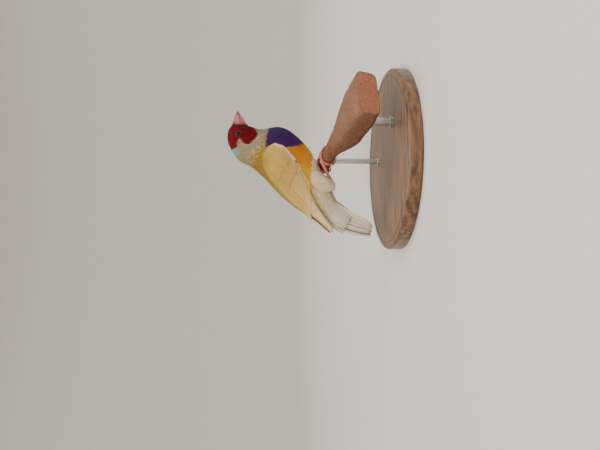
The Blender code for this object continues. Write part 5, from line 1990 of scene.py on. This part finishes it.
def build_base(look):
    """The round base, turned with a rounded rim and a shallow groove, to the solid's size."""
    centre, radius, _, top = upright(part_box("stand_base"))
    profile = [
        (0.0, 0.0), (radius - 1.0, 0.0), (radius - 0.3, 0.35), (radius, 1.0), (radius, 3.2)
    ]
    for turn in np.linspace(0, math.pi / 2, 9):
        profile.append((
            radius - RIM_ROUND + RIM_ROUND * math.cos(turn),
            top - RIM_ROUND + RIM_ROUND * math.sin(turn),
        ))
    groove = radius - 4.2
    profile += [(groove + 0.5, top), (groove + 0.3, top - 0.3), (groove - 0.3, top - 0.3)]
    profile += [(groove - 0.5, top), (radius * 0.5, top), (0.0, top)]
    rings = turned_rings(profile, 180, centre, least=0.01)
    made = closed_tube("turned_base", rings - BIRD_ORIGIN, sharp=STAND_EDGE)
    return finish_piece(made, look, "stand_wood", "stand_base")


def build_rod(name, look):
    """A rod with a slim collar where it enters the base."""
    centre, radius, bottom, top = upright(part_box(name))
    bottom = bottom - TOUCHING_GAP
    profile = (
        (radius + 0.9, bottom), (radius + 0.9, bottom + 0.9), (radius + 0.6, bottom + 1.2),
        (radius, bottom + 1.3), (radius, (bottom + top) / 2), (radius, top + 0.6),
    )
    rings = turned_rings(profile, 64, centre)
    name_made = name.replace("stand_", "") + "_with_collar"
    made = closed_tube(name_made, rings - BIRD_ORIGIN, sharp=STAND_EDGE)
    return finish_piece(made, look, "stand_rod", name)


# Studio.

CAMERA_YAW = math.radians(8.0)
CAMERA_PITCH = math.radians(4.8)
CAMERA_PLACE = np.array((-96.5, -392.4, 46.9))
CAMERA_LENS = 37.5


def build_camera():
    """The photo's view, with the camera rolled a quarter turn so that up is to its left."""
    right = Vector((math.cos(CAMERA_YAW), -math.sin(CAMERA_YAW), 0.0))
    level = Vector((math.sin(CAMERA_YAW), math.cos(CAMERA_YAW), 0.0))
    forward = level * math.cos(CAMERA_PITCH) - Vector((0.0, 0.0, 1.0)) * math.sin(CAMERA_PITCH)
    up = right.cross(forward)
    data = bpy.data.cameras.new("camera")
    data.sensor_width = 36
    data.lens = CAMERA_LENS
    data.clip_start = 0.01
    data.clip_end = 20
    camera = bpy.data.objects.new("camera", data)
    bpy.context.scene.collection.objects.link(camera)
    place = Vector((CAMERA_PLACE + BIRD_ORIGIN) * MM)
    axes = Matrix((-up, right, -forward)).transposed().to_4x4()
    camera.matrix_world = Matrix.Translation(place) @ axes
    bpy.context.scene.camera = camera


def soft_light(name, place, size, power, colour):
    data = bpy.data.lights.new(name, "AREA")
    data.shape = "SQUARE"
    data.size = size
    data.energy = power
    data.color = colour
    light = bpy.data.objects.new(name, data)
    light.location = place
    aim = Vector(LIGHT_TARGET) - Vector(place)
    light.rotation_euler = aim.to_track_quat("-Z", "Y").to_euler()
    bpy.context.scene.collection.objects.link(light)


FLOOR_RADIUS = 0.8
FLOOR_BEND = 0.5
WALL_TOP = 2.6
LIGHT_TARGET = (0.0, 0.0, 0.06)
LIGHTS = (
    ("key", (-0.35, -0.75, 0.85), 0.6, 11.0, (1.0, 0.98, 0.95)),
    ("fill", (0.75, -0.45, 0.45), 0.6, 4.0, (0.97, 0.98, 1.0)),
    ("top", (0.1, 0.35, 1.05), 0.7, 7.0, (1.0, 1.0, 1.0)),
)


def build_studio():
    """A pale floor that curves up into a wall all round, and soft light from several sides."""
    profile = [(0.0, 0.0), (FLOOR_RADIUS, 0.0)]
    for turn in np.linspace(0, math.pi / 2, 13)[1:]:
        profile.append((
            FLOOR_RADIUS + FLOOR_BEND * math.sin(turn), FLOOR_BEND - FLOOR_BEND * math.cos(turn)
        ))
    profile.append((FLOOR_RADIUS + FLOOR_BEND, WALL_TOP))
    rings = turned_rings(profile, 96, least=0.0005) / MM
    faces = grid_faces(len(profile), 96, closed=True)
    floor = mesh_from("studio_floor", rings - BIRD_ORIGIN - np.array((0.0, 0.0, 0.05)), faces)
    floor.data.materials.append(floor_material())
    for light in LIGHTS:
        soft_light(*light)
    world = bpy.data.worlds.new("studio_air")
    world.use_nodes = True
    air = world.node_tree.nodes["Background"]
    air.inputs["Color"].default_value = (0.9, 0.92, 0.95, 1.0)
    air.inputs["Strength"].default_value = 0.45
    bpy.context.scene.world = world


def main():
    coat = coat_material()
    vanes = vane_material()
    horn = horn_material()
    bare_skin = skin_material()
    eye = eye_material()
    steel = steel_material()
    build_camera()
    for build in (
        build_skin, build_body_coat, build_bill_fringe, build_mantle_drape, build_vent_fluff,
        build_thigh_coat,
    ):
        build(coat)
    build_wings(vanes, coat)
    build_tail_core(coat)
    build_tail(vanes)
    build_bill_half("upper_bill", True, horn)
    build_bill_half("lower_bill", False, horn)
    for word, side in SIDES.items():
        build_eye(word, side, eye)
        for build in (build_lids, build_foot, build_shank):
            build(word, side, bare_skin)
    build_perch(sand_material())
    build_base(wood_material())
    for name in ("stand_rod_front", "stand_rod_back"):
        build_rod(name, steel)
    build_studio()


main()
